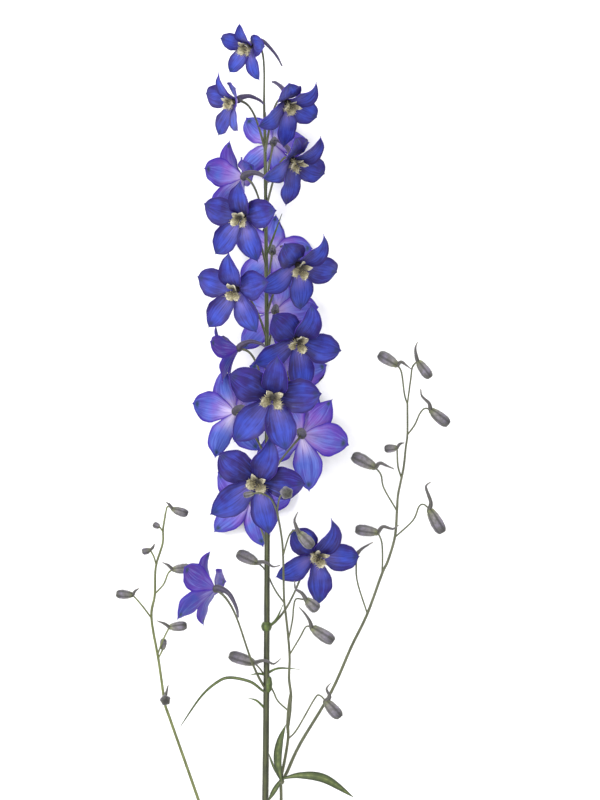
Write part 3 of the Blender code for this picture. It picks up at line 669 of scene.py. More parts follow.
def raised(tree, mesh, lift):
    """The mesh with its points moved out along their normals."""
    normal = add(tree, "GeometryNodeInputNormal")
    offset = add(tree, "ShaderNodeVectorMath", {0: normal, "Scale": lift}, operation="SCALE")
    return add(tree, "GeometryNodeSetPosition", {"Geometry": mesh, "Offset": offset})


def closed_and_real(tree, mesh, seam):
    """The mesh with its seams closed, smooth to the eye and with no instances left."""
    closed = add(tree, "GeometryNodeMergeByDistance", {"Geometry": mesh, "Distance": seam})
    smooth = add(tree, "GeometryNodeSetShadeSmooth", {"Geometry": closed})
    return add(tree, "GeometryNodeRealizeInstances", {"Geometry": smooth})


def blade_tree():
    """Sweeps a row of points across each midrib, cups and ripples it, and gives it a wall.

    The midribs are edge chains whose points carry half_width, tilt and cup.
    """
    tree, given = new_tree(
        "blades_along_midribs",
        Int=["Columns"],
        Float=["Thickness", "Ripple", "Ripple Size", "Seed"],
        Material=["Front", "Back"],
    )
    half, tilt, cup, across = (
        add(tree, "GeometryNodeInputNamedAttribute", {"Name": key})
        for key in ("half_width", "tilt", "cup", "across")
    )
    midribs = add(tree, "GeometryNodeMeshToCurve", {"Mesh": given["Geometry"]})
    upright = add(tree, "GeometryNodeSetCurveNormal", {"Curve": midribs}, mode="Z_UP")
    tilted = add(tree, "GeometryNodeSetCurveTilt", {"Curve": upright, "Tilt": tilt})

    ends = {"Start": (-1.0, 0.0, 0.0), "End": (1.0, 0.0, 0.0)}
    line = add(tree, "GeometryNodeCurvePrimitiveLine", ends)
    row = add(tree, "GeometryNodeResampleCurve", {"Curve": line, "Count": given["Columns"]})
    place = add(tree, "GeometryNodeInputPosition")
    row_across = add(tree, "ShaderNodeSeparateXYZ", {"Vector": place})
    profile = add(
        tree,
        "GeometryNodeStoreNamedAttribute",
        {"Geometry": row, "Name": "across", "Value": row_across},
    )
    sheet = add(
        tree,
        "GeometryNodeCurveToMesh",
        {"Curve": tilted, "Profile Curve": profile, "Scale": half},
    )

    ripple = unevenness(tree, place, given["Ripple Size"], given["Seed"], 1.0)
    wave = add(tree, "ShaderNodeMath", {0: ripple, 1: given["Ripple"]}, operation="MULTIPLY")
    bend = add(tree, "ShaderNodeMath", {0: cup, 1: wave}, operation="ADD")
    squared = add(tree, "ShaderNodeMath", {0: across, 1: across}, operation="MULTIPLY")
    outer = add(tree, "ShaderNodeMath", {0: bend, 1: squared}, operation="MULTIPLY")
    lift = add(tree, "ShaderNodeMath", {0: outer, 1: half}, operation="MULTIPLY")
    cupped = raised(tree, sheet, lift)

    wall = add(
        tree,
        "GeometryNodeExtrudeMesh",
        {"Mesh": cupped, "Offset Scale": given["Thickness"], "Individual": False},
    )
    under = add(tree, "GeometryNodeFlipFaces", {"Mesh": cupped})
    both = add(tree, "GeometryNodeJoinGeometry", {"Geometry": wall})
    tree.links.new(under.outputs[0], both.inputs[0])
    real = closed_and_real(tree, both, BLADE_SEAM)
    backed = add(tree, "GeometryNodeSetMaterial", {"Geometry": real, "Material": given["Back"]})
    faced = add(
        tree,
        "GeometryNodeSetMaterial",
        {"Geometry": backed, "Selection": wall.outputs["Top"], "Material": given["Front"]},
    )
    add(tree, "NodeGroupOutput", {"Geometry": faced})
    return tree


def tube_tree():
    """Sweeps a lobed ring along each path, whose points carry radius and along."""
    tree, given = new_tree(
        "tubes_along_paths",
        Int=["Sides"],
        Float=["Lobes", "Lobe Depth", "Roughness", "Grain Size", "Seed"],
        Material=["Skin"],
    )
    radius = add(tree, "GeometryNodeInputNamedAttribute", {"Name": "radius"})
    paths = add(tree, "GeometryNodeMeshToCurve", {"Mesh": given["Geometry"]})

    circle = {"Resolution": given["Sides"], "Radius": 1.0}
    ring = add(tree, "GeometryNodeCurvePrimitiveCircle", circle)
    place = add(tree, "GeometryNodeInputPosition")
    x, y, _ = add(tree, "ShaderNodeSeparateXYZ", {"Vector": place}).outputs
    angle = add(tree, "ShaderNodeMath", {0: y, 1: x}, operation="ARCTAN2")
    turns = add(tree, "ShaderNodeMath", {0: angle, 1: given["Lobes"]}, operation="MULTIPLY")
    swing = add(tree, "ShaderNodeMath", {0: turns}, operation="COSINE")
    bulge = add(
        tree,
        "ShaderNodeMath",
        {0: swing, 1: given["Lobe Depth"], 2: 1.0},
        operation="MULTIPLY_ADD",
    )
    lobed = add(tree, "ShaderNodeVectorMath", {0: place, "Scale": bulge}, operation="SCALE")
    marked = add(
        tree,
        "GeometryNodeStoreNamedAttribute",
        {"Geometry": ring, "Name": "ridge", "Value": swing},
    )
    profile = add(tree, "GeometryNodeSetPosition", {"Geometry": marked, "Position": lobed})
    tube = add(
        tree,
        "GeometryNodeCurveToMesh",
        {"Curve": paths, "Profile Curve": profile, "Scale": radius, "Fill Caps": True},
    )

    grain = unevenness(tree, place, given["Grain Size"], given["Seed"], 2.0)
    rough = add(tree, "ShaderNodeMath", {0: grain, 1: given["Roughness"]}, operation="MULTIPLY")
    real = closed_and_real(tree, raised(tree, tube, rough), TUBE_SEAM)
    skinned = add(tree, "GeometryNodeSetMaterial", {"Geometry": real, "Material": given["Skin"]})
    add(tree, "NodeGroupOutput", {"Geometry": skinned})
    return tree


def down_tree():
    """Stands short tapered hairs on a surface and gives back the hairs alone."""
    tree, given = new_tree(
        "hairs_on_a_surface",
        Float=["Density", "Length", "Width", "From"],
        Int=["Seed"],
        Material=["Hair"],
    )
    along = add(tree, "GeometryNodeInputNamedAttribute", {"Name": "along"})
    outer = add(tree, "ShaderNodeMath", {0: along, 1: given["From"]}, operation="GREATER_THAN")
    spread = add(
        tree,
        "GeometryNodeDistributePointsOnFaces",
        {
            "Mesh": given["Geometry"],
            "Density": given["Density"],
            "Selection": outer,
            "Seed": given["Seed"],
        },
    )
    cone = {"Radius Top": 0.0, "Radius Bottom": given["Width"], "Depth": given["Length"]}
    hair = add(tree, "GeometryNodeMeshCone", {"Vertices": 3, **cone}, fill_type="NONE")
    size, lean = (
        add(
            tree,
            "FunctionNodeRandomValue",
            {"Min": least, "Max": most, "Seed": given["Seed"]},
            data_type=kind,
        )
        for kind, least, most in (
            ("FLOAT", 0.5, 1.15),
            ("FLOAT_VECTOR", (-0.5, -0.5, -3.1), (0.5, 0.5, 3.1)),
        )
    )
    placed = add(
        tree,
        "GeometryNodeInstanceOnPoints",
        {
            "Points": spread.outputs["Points"],
            "Instance": hair,
            "Rotation": spread.outputs["Rotation"],
            "Scale": size,
        },
    )
    leaning = add(tree, "GeometryNodeRotateInstances", {"Instances": placed, "Rotation": lean})
    real = add(tree, "GeometryNodeRealizeInstances", {"Geometry": leaning})
    dressed = add(tree, "GeometryNodeSetMaterial", {"Geometry": real, "Material": given["Hair"]})
    add(tree, "NodeGroupOutput", {"Geometry": dressed})
    return tree


def grown_mesh(source, tree, values):
    """What a tree makes of a source mesh with these values, as a plain mesh."""
    holder = bpy.data.objects.new(tree.name, source)
    bpy.context.scene.collection.objects.link(holder)
    growth = holder.modifiers.new(tree.name, "NODES")
    growth.node_group = tree
    for socket in tree.interface.items_tree:
        if socket.in_out == "INPUT" and socket.name in values:
            growth[socket.identifier] = values[socket.name]
    bpy.context.view_layer.update()
    graph = bpy.context.evaluated_depsgraph_get()
    mesh = bpy.data.meshes.new_from_object(holder.evaluated_get(graph), depsgraph=graph)
    holder.modifiers.remove(growth)
    bpy.data.objects.remove(holder)
    return mesh


def chains(rows):
    """Edge chains, one for each row of points; a point is its place and its attributes."""
    places, edges = [], []
    for row in rows:
        first = len(places)
        places += [point["place"] for point in row]
        edges += [(i, i + 1) for i in range(first, len(places) - 1)]
    mesh = bpy.data.meshes.new("rows_of_points")
    mesh.from_pydata(places, edges, [])
    for key in rows[0][0]:
        if key != "place":
            layer = mesh.attributes.new(key, "FLOAT", "POINT")
            layer.data.foreach_set("value", [point[key] for row in rows for point in row])
    return mesh


def blades(rows, sizes, front, back, seed):
    """Blades along these midribs, with a finish on each face."""
    values = {**sizes, "Front": FINISHES[front], "Back": FINISHES[back], "Seed": seed}
    return grown_mesh(chains(rows), TREES["blade"], values)


def tubes(rows, sizes, skin, seed, lobes=LOBES):
    """Tubes along these paths, all with one finish."""
    values = {**sizes, "Lobes": lobes, "Skin": FINISHES[skin], "Seed": seed}
    return grown_mesh(chains(rows), TREES["tube"], values)


def hairs(surface, sizes, hair, seed):
    """The hairs that stand on this mesh, without it."""
    return grown_mesh(surface, TREES["down"], {**sizes, "Hair": FINISHES[hair], "Seed": seed})


def piece(name, meshes, nodes):
    """One piece made of several meshes in the row frame, which stands for these nodes.

    Where it would reach below the surface it lies on, it is pressed flat.
    """
    parts = []
    for mesh in meshes:
        part = bpy.data.objects.new(name, mesh)
        bpy.context.scene.collection.objects.link(part)
        parts.append(part)
    whole = parts[0]
    if len(parts) > 1:
        with bpy.context.temp_override(
            active_object=whole, object=whole, selected_editable_objects=parts
        ):
            bpy.ops.object.join()
    whole.name = whole.data.name = name
    for corner in whole.data.vertices:
        corner.co.z = max(corner.co.z, 0.0)
    whole.data.set_sharp_from_angle(angle=math.radians(SHARP_ANGLE))
    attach(whole, "root")
    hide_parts(*nodes)


def linear(hex_colour):
    """An sRGB hex colour as linear red, green, blue and full alpha."""
    values = [int(hex_colour[i : i + 2], 16) / 255 for i in (1, 3, 5)]
    return (*(v / 12.92 if v <= 0.04045 else ((v + 0.055) / 1.055) ** 2.4 for v in values), 1.0)


def new_finish(name):
    finish = bpy.data.materials.new(name)
    finish.use_nodes = True
    return finish, finish.node_tree, finish.node_tree.nodes["Principled BSDF"]


# A sepal's colours from claw to tip, for its bluest and its most violet parts.
# On the inner face the violet is darkest at the claw: painted shade where the sepal goes down into the
# throat.
INNER_FACE = {
    "blue": ((0.0, "#352A70"), (0.3, "#292E80"), (0.65, "#29399E"), (1.0, "#1D286A")),
    "violet": ((0.0, "#130A30"), (0.4, "#1B0E4E"), (0.75, "#26136A"), (1.0, "#1A0E56")),
    "dusk_blue": "#1E2474",
    "dusk_violet": "#3A1C74",
    "claw": "#7F70BE",
    "claw_reach": 0.62,
    "streak": "#4059C8",
    "vein": "#170D48",
    "rim": "#190655",
    "callus": "#101E36",
    "callus_share": 0.5,
}
# The outer face is paler pigment, made lighter still with painted light that shines through the thin
# sepal from behind.
OUTER_FACE_WITH_PAINTED_BACKLIGHT = {
    "blue": ((0.0, "#B4A2C2"), (0.22, "#8E8AC8"), (0.5, "#5266C0"), (1.0, "#364A9E")),
    "violet": ((0.0, "#A890BC"), (0.3, "#8A60B4"), (0.65, "#5838A2"), (1.0, "#38308E")),
    "dusk_blue": "#2A3088",
    "dusk_violet": "#4E2886",
    "claw": "#DACEE4",
    "claw_reach": 0.42,
    "streak": "#8296E4",
    "vein": "#382A88",
    "rim": "#32128C",
    "callus": "#1C3430",
    "callus_share": 0.85,
}


def sepal_finish(name, colours):
    """A sepal's living skin, satin and full of pigment on its inner face, paler outside, where painted
    light shining through from behind lightens it further.

    The eye sees a dark rim, a fan of fine veins from a lilac claw, and a green callus.
    """
    finish, tree, shader = new_finish(name)
    u, v, shade, dusk = (
        add(tree, "ShaderNodeAttribute", attribute_name=key).outputs["Fac"]
        for key in ("along", "across", "shade", "dusk")
    )
    side = add(tree, "ShaderNodeMath", {0: v}, operation="ABSOLUTE")

    # Veins run from claw to rim about 0.8 mm apart, so they are long in u and short in v.
    side_step = add(tree, "ShaderNodeMath", {0: v, 1: 8.0}, operation="MULTIPLY")
    long_step = add(tree, "ShaderNodeMath", {0: u, 1: 2.2}, operation="MULTIPLY")
    own_fan = add(tree, "ShaderNodeMath", {0: shade, 1: 37.0}, operation="MULTIPLY")
    fan = add(tree, "ShaderNodeCombineXYZ", {0: side_step, 1: long_step, 2: own_fan})
    veins = add(tree, "ShaderNodeTexNoise", {"Vector": fan, "Scale": 1.0, "Detail": 4.0})

    # Violet gathers in clouds 5 to 8 mm across and at the sides, where it is painted shade as well as
    # pigment; blue is left between.
    place = add(tree, "ShaderNodeTexCoord").outputs["Object"]
    cloud = add(tree, "ShaderNodeTexNoise", {"Vector": place, "Scale": 150.0, "Detail": 3.0})
    clouded = add(tree, "ShaderNodeMath", {0: cloud, 1: 2.6, 2: -1.4}, operation="MULTIPLY_ADD")
    side_squared = add(tree, "ShaderNodeMath", {0: v, 1: v}, operation="MULTIPLY")
    violet_and_painted_shade_at_sides = add(tree, "ShaderNodeMath", {0: side_squared, 1: 0.55, 2: shade}, operation="MULTIPLY_ADD")
    violet_share = add(tree, "ShaderNodeMath", {0: violet_and_painted_shade_at_sides, 1: clouded}, operation="ADD", use_clamp=True)
    blue = add(tree, "ShaderNodeValToRGB", {"Fac": u}, colours["blue"])
    violet = add(tree, "ShaderNodeValToRGB", {"Fac": u}, colours["violet"])
    ground, dusky = (
        add(tree, "ShaderNodeMix", {"Factor": violet_share, "A": a, "B": b}, data_type="RGBA")
        for a, b in ((blue, violet), (colours["dusk_blue"], colours["dusk_violet"]))
    )

    # The claw glows on the bluer sepals, in their middle.
    glow = add(
        tree,
        "ShaderNodeMapRange",
        {"Value": u, "From Min": 0.10, "From Max": colours["claw_reach"], "To Min": 1.0, "To Max": 0.0},
        interpolation_type="SMOOTHSTEP",
    )
    for value, full, none in ((shade, 0.05, 0.60), (side, 0.1, 0.85), (dusk, 0.0, 1.2)):
        share = add(
            tree,
            "ShaderNodeMapRange",
            {"Value": value, "From Min": none, "From Max": full, "To Max": 0.95},
        )
        glow = add(tree, "ShaderNodeMath", {0: glow, 1: share}, operation="MULTIPLY")

    # The rim is nothing over most of the blade and full at its sides and tip.
    side_rim = add(tree, "ShaderNodeMath", {0: side, 1: 5.0}, operation="POWER")
    tip_rim = add(tree, "ShaderNodeMath", {0: u, 1: 14.0}, operation="POWER")
    outer = add(tree, "ShaderNodeMath", {0: side_rim, 1: tip_rim}, operation="MAXIMUM")

    # The callus is a soft green fleck about 2 mm across on the midline near the tip.
    callus_u = add(tree, "ShaderNodeMath", {0: u, 1: 0.87}, operation="SUBTRACT")
    callus_v = add(tree, "ShaderNodeMath", {0: v, 1: 0.13}, operation="MULTIPLY")
    from_callus = add(tree, "ShaderNodeCombineXYZ", {0: callus_u, 1: callus_v})
    distance = add(tree, "ShaderNodeVectorMath", {0: from_callus}, operation="LENGTH")

    # Each mark: what it follows, where that gives none of it and all of it, and its full share.
    bright, dark, rim, callus = (
        add(
            tree,
            "ShaderNodeMapRange",
            {"Value": value, "From Min": none, "From Max": full, "To Max": most},
        )
        for value, none, full, most in (
            (veins, 0.50, 0.72, 0.32),
            (veins, 0.47, 0.30, 0.6),
            (outer, 0.12, 0.75, 0.9),
            (distance.outputs["Value"], 0.07, 0.015, colours["callus_share"]),
        )
    )
    skin = ground
    for share, colour in (
        (dusk, dusky),
        (glow, colours["claw"]),
        (bright, colours["streak"]),
        (dark, colours["vein"]),
        (rim, colours["rim"]),
        (callus, colours["callus"]),
    ):
        skin = add(tree, "ShaderNodeMix", {"Factor": share, "A": skin, "B": colour}, data_type="RGBA")
    ridges = add(tree, "ShaderNodeBump", {"Strength": 0.45, "Distance": 0.0005, "Height": veins})
    feed(
        tree,
        shader,
        {
            "Base Color": skin,
            "Normal": ridges,
            "Roughness": 0.52,
            "IOR": 1.36,
            "Sheen Weight": 0.05,
            "Sheen Roughness": 0.4,
        },
    )
    return finish


@dataclass
class Finish:
    """A surface coloured by stops from its foot to its tip, or from its midrib to its edge.

    Mottle darkens it in flecks grain millimetres wide and stretch times as long, and the
    painted furrow shade darkens the furrows between a tube's ridges. Green is the colour it
    keeps on flowers that face the ground.
    """

    name: str
    stops: tuple
    mottle: str
    painted_furrow_shade: str
    grain: float
    stretch: float = 1.0
    roughness: float = 0.6
    sheen: float = 0.0
    green: str = "#3A3C22"
    from_midrib: bool = False


PLAIN_FINISHES = {
    # Thin skin over nectar: slate violet and wrinkled, from a throat darkened with painted shade past a
    # green foot, with painted shade in its furrows.
    "spur": Finish(
        "living_spur_skin",
        (
            (0.0, "#120D14"),
            (0.10, "#26261A"),
            (0.20, "#3E4026"),
            (0.34, "#403452"),
            (0.75, "#453A5E"),
            (1.0, "#6A6478"),
        ),
        mottle="#2A1F48",
        painted_furrow_shade="#1C142C",
        grain=0.7,
        sheen=0.1,
    ),
    # Matt cream petals, flecked with tan, darkened with painted shade where they go down into the
    # throat.
    "heart": Finish(
        "living_inner_petal_cream",
        ((0.0, "#17120F"), (0.35, "#40392C"), (0.6, "#8E8768"), (0.85, "#BDB79C"), (1.0, "#CDC7B0")),
        mottle="#4C4534",
        painted_furrow_shade="#4C4534",
        grain=1.1,
        roughness=0.65,
        sheen=0.2,
    ),
    # The throat is painted nearly black as the shade inside the flower, so the cream petals stand out
    # of it.
    "throat": Finish(
        "living_throat_dark",
        ((0.0, "#221A1A"), (1.0, "#2E2820")),
        mottle="#141010",
        painted_furrow_shade="#141010",
        grain=1.1,
    ),
    # A waxy ribbed stem, whose furrows are darkened with painted shade so its ribs stand out light.
    "stem": Finish(
        "living_stem_olive",
        ((0.0, "#45492A"), (0.5, "#424722"), (0.75, "#4C5A26"), (1.0, "#545E32")),
        mottle="#1E220F",
        painted_furrow_shade="#101306",
        grain=1.2,
        stretch=12.0,
        roughness=0.45,
    ),
    # The joints of the stem are fresher and greener than its length.
    "knot": Finish(
        "living_stem_joint_green",
        ((0.0, "#4E5E22"), (1.0, "#586A2A")),
        mottle="#2A3814",
        painted_furrow_shade="#1C260C",
        grain=1.5,
        roughness=0.5,
    ),
    # Thin stalks, grey green and faintly downy, so they have no bright highlight.
    "stalk": Finish(
        "living_stalk_green",
        ((0.0, "#5A5E40"), (1.0, "#5A5C46")),
        mottle="#3A3E28",
        painted_furrow_shade="#2C2F1D",
        grain=1.2,
        stretch=8.0,
        roughness=0.55,
    ),
    # The youngest branch is yellower.
    "young_stalk": Finish(
        "living_stalk_yellow_green",
        ((0.0, "#6A7046"), (0.4, "#6E7640"), (1.0, "#6C724A")),
        mottle="#4A5028",
        painted_furrow_shade="#3C4222",
        grain=1.2,
        stretch=8.0,
        roughness=0.55,
    ),
    # A matt green blade, with a paler midrib and a dark thin edge.
    "leaf": Finish(
        "living_leaf_green",
        ((0.0, "#707C44"), (0.16, "#545F30"), (0.6, "#445026"), (0.85, "#2D3718"), (1.0, "#171C0B")),
        mottle="#2C391A",
        painted_furrow_shade="#2C391A",
        grain=2.5,
        from_midrib=True,
    ),
    # Downy skin over folded petals: a pale spur tip, a green base, grey mauve, a dark nose, and painted
    # shade in the folds between its sepals.
    "bud": Finish(
        "living_bud_skin_downy",
        (
            (0.0, "#8E8A80"),
            (0.12, "#524E52"),
            (0.36, "#4C4848"),
            (0.44, "#646A3E"),
            (0.56, "#747070"),
            (0.80, "#6C6676"),
            (0.92, "#423E48"),
            (1.0, "#1C1A1A"),
        ),
        mottle="#44443A",
        painted_furrow_shade="#211F1E",
        grain=2.0,
        sheen=0.2,
    ),
    # Fine stiff hair, cream on the inner petals and grey on green parts.
    "beard_hair": Finish(
        "plant_hair_cream",
        ((0.0, "#B4AC86"), (1.0, "#B4AC86")),
        mottle="#7E7450",
        painted_furrow_shade="#B4AC86",
        grain=1.0,
    ),
    "down": Finish(
        "plant_down_grey",
        ((0.0, "#7E806C"), (1.0, "#7E806C")),
        mottle="#5E604E",
        painted_furrow_shade="#7E806C",
        grain=1.0,
    ),
    # Matt white paint, so the eye sees only the faint shadow of the plant.
    "floor": Finish(
        "matt_white_painted_board",
        ((0.0, "#F8F8F8"), (1.0, "#F8F8F8")),
        mottle="#F4F4F4",
        painted_furrow_shade="#F8F8F8",
        grain=4.0,
        roughness=0.9,
    ),
}


def plain_finish(look):
    """The material of a finish, with its grain also standing up a little."""
    finish, tree, shader = new_finish(look.name)
    mark, ridge, green = (
        add(tree, "ShaderNodeAttribute", attribute_name=key).outputs["Fac"]
        for key in ("across" if look.from_midrib else "along", "ridge", "green")
    )
    distance = add(tree, "ShaderNodeMath", {0: mark}, operation="ABSOLUTE")
    place = add(tree, "ShaderNodeTexCoord").outputs["Object"]
    stretched = add(
        tree, "ShaderNodeMapping", {"Vector": place, "Scale": (1.0, 1.0 / look.stretch, 1.0)}
    )
    grain = add(
        tree,
        "ShaderNodeTexNoise",
        {"Vector": stretched, "Scale": 1.0 / (look.grain * MM), "Detail": 3.0},
    )
    # Mottle is flecks of tone; the furrow mask paints shade into the furrows between a tube's ridges.
    mottle, furrow_shade = (
        add(
            tree,
            "ShaderNodeMapRange",
            {"Value": value, "From Min": none, "From Max": full, "To Max": most},
        )
        for value, none, full, most in ((grain, 0.60, 0.40, 0.65), (ridge, 0.0, -0.9, 0.75))
    )
    skin = add(tree, "ShaderNodeValToRGB", {"Fac": distance}, look.stops)
    for share, colour in ((green, look.green), (mottle, look.mottle), (furrow_shade, look.painted_furrow_shade)):
        skin = add(tree, "ShaderNodeMix", {"Factor": share, "A": skin, "B": colour}, data_type="RGBA")
    bump = add(tree, "ShaderNodeBump", {"Strength": 0.4, "Distance": 0.0002, "Height": grain})
    feed(
        tree,
        shader,
        {"Base Color": skin, "Normal": bump, "Roughness": look.roughness, "Sheen Weight": look.sheen},
    )
    return finish


def half_width(sepal, u):
    """Half the sepal's width at u, from root 0 to its narrow tip at 1, in millimetres."""
    power = math.log(0.5) / math.log(sepal.widest)
    body = min(1.0, u / SEPAL_BODY)
    bulge = max(0.0, math.sin(math.pi * body**power)) ** sepal.bluntness
    claw = SEPAL_CLAW * (1 - u) ** 2
    tip = SEPAL_TIP * min(1.0, (1 - u) / SEPAL_TIP_REACH)
    return sepal.width / 2 * max(claw + (1 - claw) * bulge, tip if u > 0.5 else 0.0)


def midrib_row(sepal, steps, dusk=0.0):
    """A sepal's midrib in the bloom's own frame, with what its blade and its finish read."""
    start, end = math.radians(sepal.lean_base), math.radians(sepal.lean_tip)
    turned = Matrix.Rotation(math.radians(sepal.angle), 3, "Z")
    uneven = random.Random(f"outline {sepal.length} {sepal.width}").uniform(0, 6)
    row = []
    for i in range(steps + 1):
        u = i / steps
        lean = start + (end - start) * u
        outwards = sepal.length * (math.sin(lean) - math.sin(start)) / (end - start)
        forwards = sepal.length * (math.cos(start) - math.cos(lean)) / (end - start)
        beyond = max(0.0, (u - SEPAL_TURN_FROM) / (1 - SEPAL_TURN_FROM)) ** 2
        aside = sepal.tip_side * beyond
        place = turned @ Vector((sepal.root + outwards, aside, forwards)) * MM
        wobble = 1.0
        for size, pace in SEPAL_EDGE_WAVES:
            wobble += size * math.sin(pace * u + uneven)
        row.append(
            {
                "place": place,
                "half_width": half_width(sepal, u) * wobble * MM,
                "tilt": math.radians(sepal.twist * u + sepal.tip_twist * beyond),
                "cup": sepal.cup,
                "along": u,
                "shade": sepal.shade,
                "dusk": dusk,
            }
        )
    return row


def spur_row(bloom):
    """The receptacle and spur, a smooth tapered path in the bloom's own frame."""
    lift = math.radians(bloom.spur_lift)
    length = SPUR_LENGTH * bloom.size
    line = [Vector(place) for place, _ in RECEPTACLE]
    radii = [radius for _, radius in RECEPTACLE]
    for t, radius in SPUR_TAPER:
        back = length * t
        swing = bloom.spur_swing * t * t
        curl = bloom.spur_curl * t**3
        rise = SPUR_ROOT_RISE + back * math.sin(lift)
        line.append(Vector((swing, rise + curl, -back * math.cos(lift))))
        radii.append(radius)
    radii = [radius * (0.3 + 0.7 * bloom.size) for radius in radii]
    forward = facing(bloom.turn, bloom.nod, bloom.roll) @ Vector((0, 0, 1))
    row = tube_row([point * MM for point in line], radii, STALK_SPAN)
    for point in row:
        point["green"] = max(0.0, -GROUND_GREEN * forward.z)
    return row


def smooth_path(points, per_span):
    """A smooth curve through given points, with per_span steps between neighbours."""
    path = []
    ends = [points[0] * 2 - points[1], *points, points[-1] * 2 - points[-2]]
    for before, start, end, after in zip(ends, ends[1:], ends[2:], ends[3:]):
        leaving, arriving = (end - before) / 6, (after - start) / 6
        span = interpolate_bezier(start, start + leaving, end - arriving, end, per_span + 1)
        path += span[:-1]
    return [*path, points[-1]]


def tube_row(points, radii, per_span):
    """A smooth tube's path through points in metres, with radii in millimetres."""
    path = smooth_path(points, per_span)
    last = len(radii) - 1
    row = []
    for i, place in enumerate(path):
        along = i / (len(path) - 1)
        low = min(last - 1, int(along * last))
        t = smooth_step(along * last - low)
        radius = radii[low] + (radii[low + 1] - radii[low]) * t
        row.append({"place": place, "radius": radius * MM, "along": along})
    return row


def spindle_row(middle, reach, radius):
    """A swelling round a place, thinning away over its reach on both sides."""
    path = [Vector(middle) + Vector(reach) * t for t, _ in SWELLING_TAPER]
    radii = [radius * full for _, full in SWELLING_TAPER]
    return tube_row(on_plan(path), radii, SWELLING_SPAN)


def flower_piece(bloom):
    """An open flower's sepals, on its receptacle and spur."""
    seed = float(bloom.name)
    rows = [midrib_row(varied(sepal, bloom), SEPAL_STEPS, bloom.dusk) for sepal in SEPALS]
    sepals = blades(rows, SEPAL_BLADE, "sepal_front", "sepal_back", seed)
    spur = tubes([spur_row(bloom)], SPUR_TUBE, "spur", seed)
    for mesh in (sepals, spur):
        mesh.transform(bloom_place(bloom))
    piece(f"flower_{bloom.name}", [sepals, spur], [f"bloom_{bloom.name}"])


def throat_piece(bloom):
    """The four inner petals on their seat, the lower two with tufts of cream hair."""
    seed = float(bloom.name)
    place = bloom_place(bloom) @ Matrix.Translation((0, 0, HEART_SEAT * MM))
    scale = (0.5 + 0.5 * bloom.size) * HEART_SPREAD
    rows, bearded = [], []
    for petal in HEART_PETALS:
        draw = random.Random(f"throat {bloom.name} {petal.name}")
        grown = replace(
            petal,
            angle=petal.angle + draw.uniform(-14, 14),
            length=petal.length * scale * draw.uniform(0.85, 1.12),
            width=petal.width * scale * draw.uniform(0.8, 1.15),
            lean_base=min(HEART_STEEPEST, petal.lean_base + bloom.close / 2),
            lean_tip=petal.lean_tip + bloom.close + draw.uniform(-12, 12),
            twist=draw.uniform(-25, 25),
        )
        rows.append(midrib_row(grown, HEART_STEPS))
        if "beard" in petal.name:
            bearded.append(rows[-1])
    petals, beard = (blades(chosen, HEART_BLADE, "heart", "heart", seed) for chosen in (rows, bearded))
    tufts = hairs(beard, BEARD, "beard_hair", int(bloom.name))
    path = [Vector((0, 0, height * MM)) for height in HEART_SEAT_HEIGHTS]
    seat_row = tube_row(path, [radius * scale for radius in HEART_SEAT_RADII], SEAT_SPAN)
    seat = tubes([seat_row], SEAT_TUBE, "throat", seed)
    for mesh in (petals, tufts, seat):
        mesh.transform(place)
    piece(f"throat_{bloom.name}", [petals, tufts, seat], [f"heart_{bloom.name}"])


def pedicel_row(bloom):
    """A flower stalk's path, from inside the stem to inside the receptacle."""
    foot = on_stem(bloom.along - bloom.drop)
    turned = facing(bloom.turn, bloom.nod, bloom.roll)
    forward = turned @ Vector((0, 0, 1))
    end = Vector((bloom.across, bloom.along, bloom.height)) + turned @ Vector(PEDICEL_END)
    reach = (end - foot).length
    outwards = (end - foot) * Vector((1, 0, 1))
    start_pull = foot + Vector((0, reach * bloom.rise, 0)) + outwards * bloom.sweep
    end_pull = end - forward * reach * PEDICEL_END_PULL - Vector((0, reach * PEDICEL_END_RISE, 0))
    row = []
    for i, place in enumerate(interpolate_bezier(foot, start_pull, end_pull, end, PEDICEL_STEPS + 1)):
        along = i / PEDICEL_STEPS
        radius = PEDICEL_RADIUS * (PEDICEL_FLARE - PEDICEL_WAIST * math.sin(math.pi * along))
        row.append({"place": world(*place), "radius": radius * MM, "along": along})
    return row


def stem_piece():
    """The main stem with its joints, bracts and flower stalks."""
    line = [on_stem(STEM_TIP_ALONG * i / STEM_STEPS) for i in range(STEM_STEPS + 1)]
    stem_row = [
        {"place": world(*p), "radius": stem_radius(p.y) * MM, "along": p.y / STEM_TIP_ALONG}
        for p in line
    ]
    joint_rows = [
        spindle_row((across, along, stem_height(along)), (0, reach, 0), radius)
        for across, along, radius, reach in STEM_KNOTS
    ]
    joint_rows += [tube_row(on_plan(bract), BRACT_RADII, BRACT_SPAN) for bract in BRACTS]
    stem = tubes([stem_row], STEM_TUBE, "stem", STEM_SEED, STEM_LOBES)
    joints = tubes(joint_rows, STEM_TUBE, "knot", STEM_SEED, STEM_LOBES)
    stalks = tubes([pedicel_row(bloom) for bloom in BLOOMS], PEDICEL_TUBE, "stalk", STEM_SEED)
    down = [hairs(mesh, STEM_DOWN, "down", STEM_DOWN_SEED) for mesh in (stem, stalks)]
    piece("main_stem_and_flower_stalks", [stem, joints, stalks, *down], ["stem"])


def on_branch(branch, along):
    """The place on a branch's middle line that lies that far along."""
    for (a0, l0, h0), (a1, l1, h1) in zip(branch, branch[1:]):
        if along <= l1:
            share = (along - l0) / (l1 - l0)
            return Vector((a0 + (a1 - a0) * share, along, h0 + (h1 - h0) * share))
    return Vector(branch[-1])


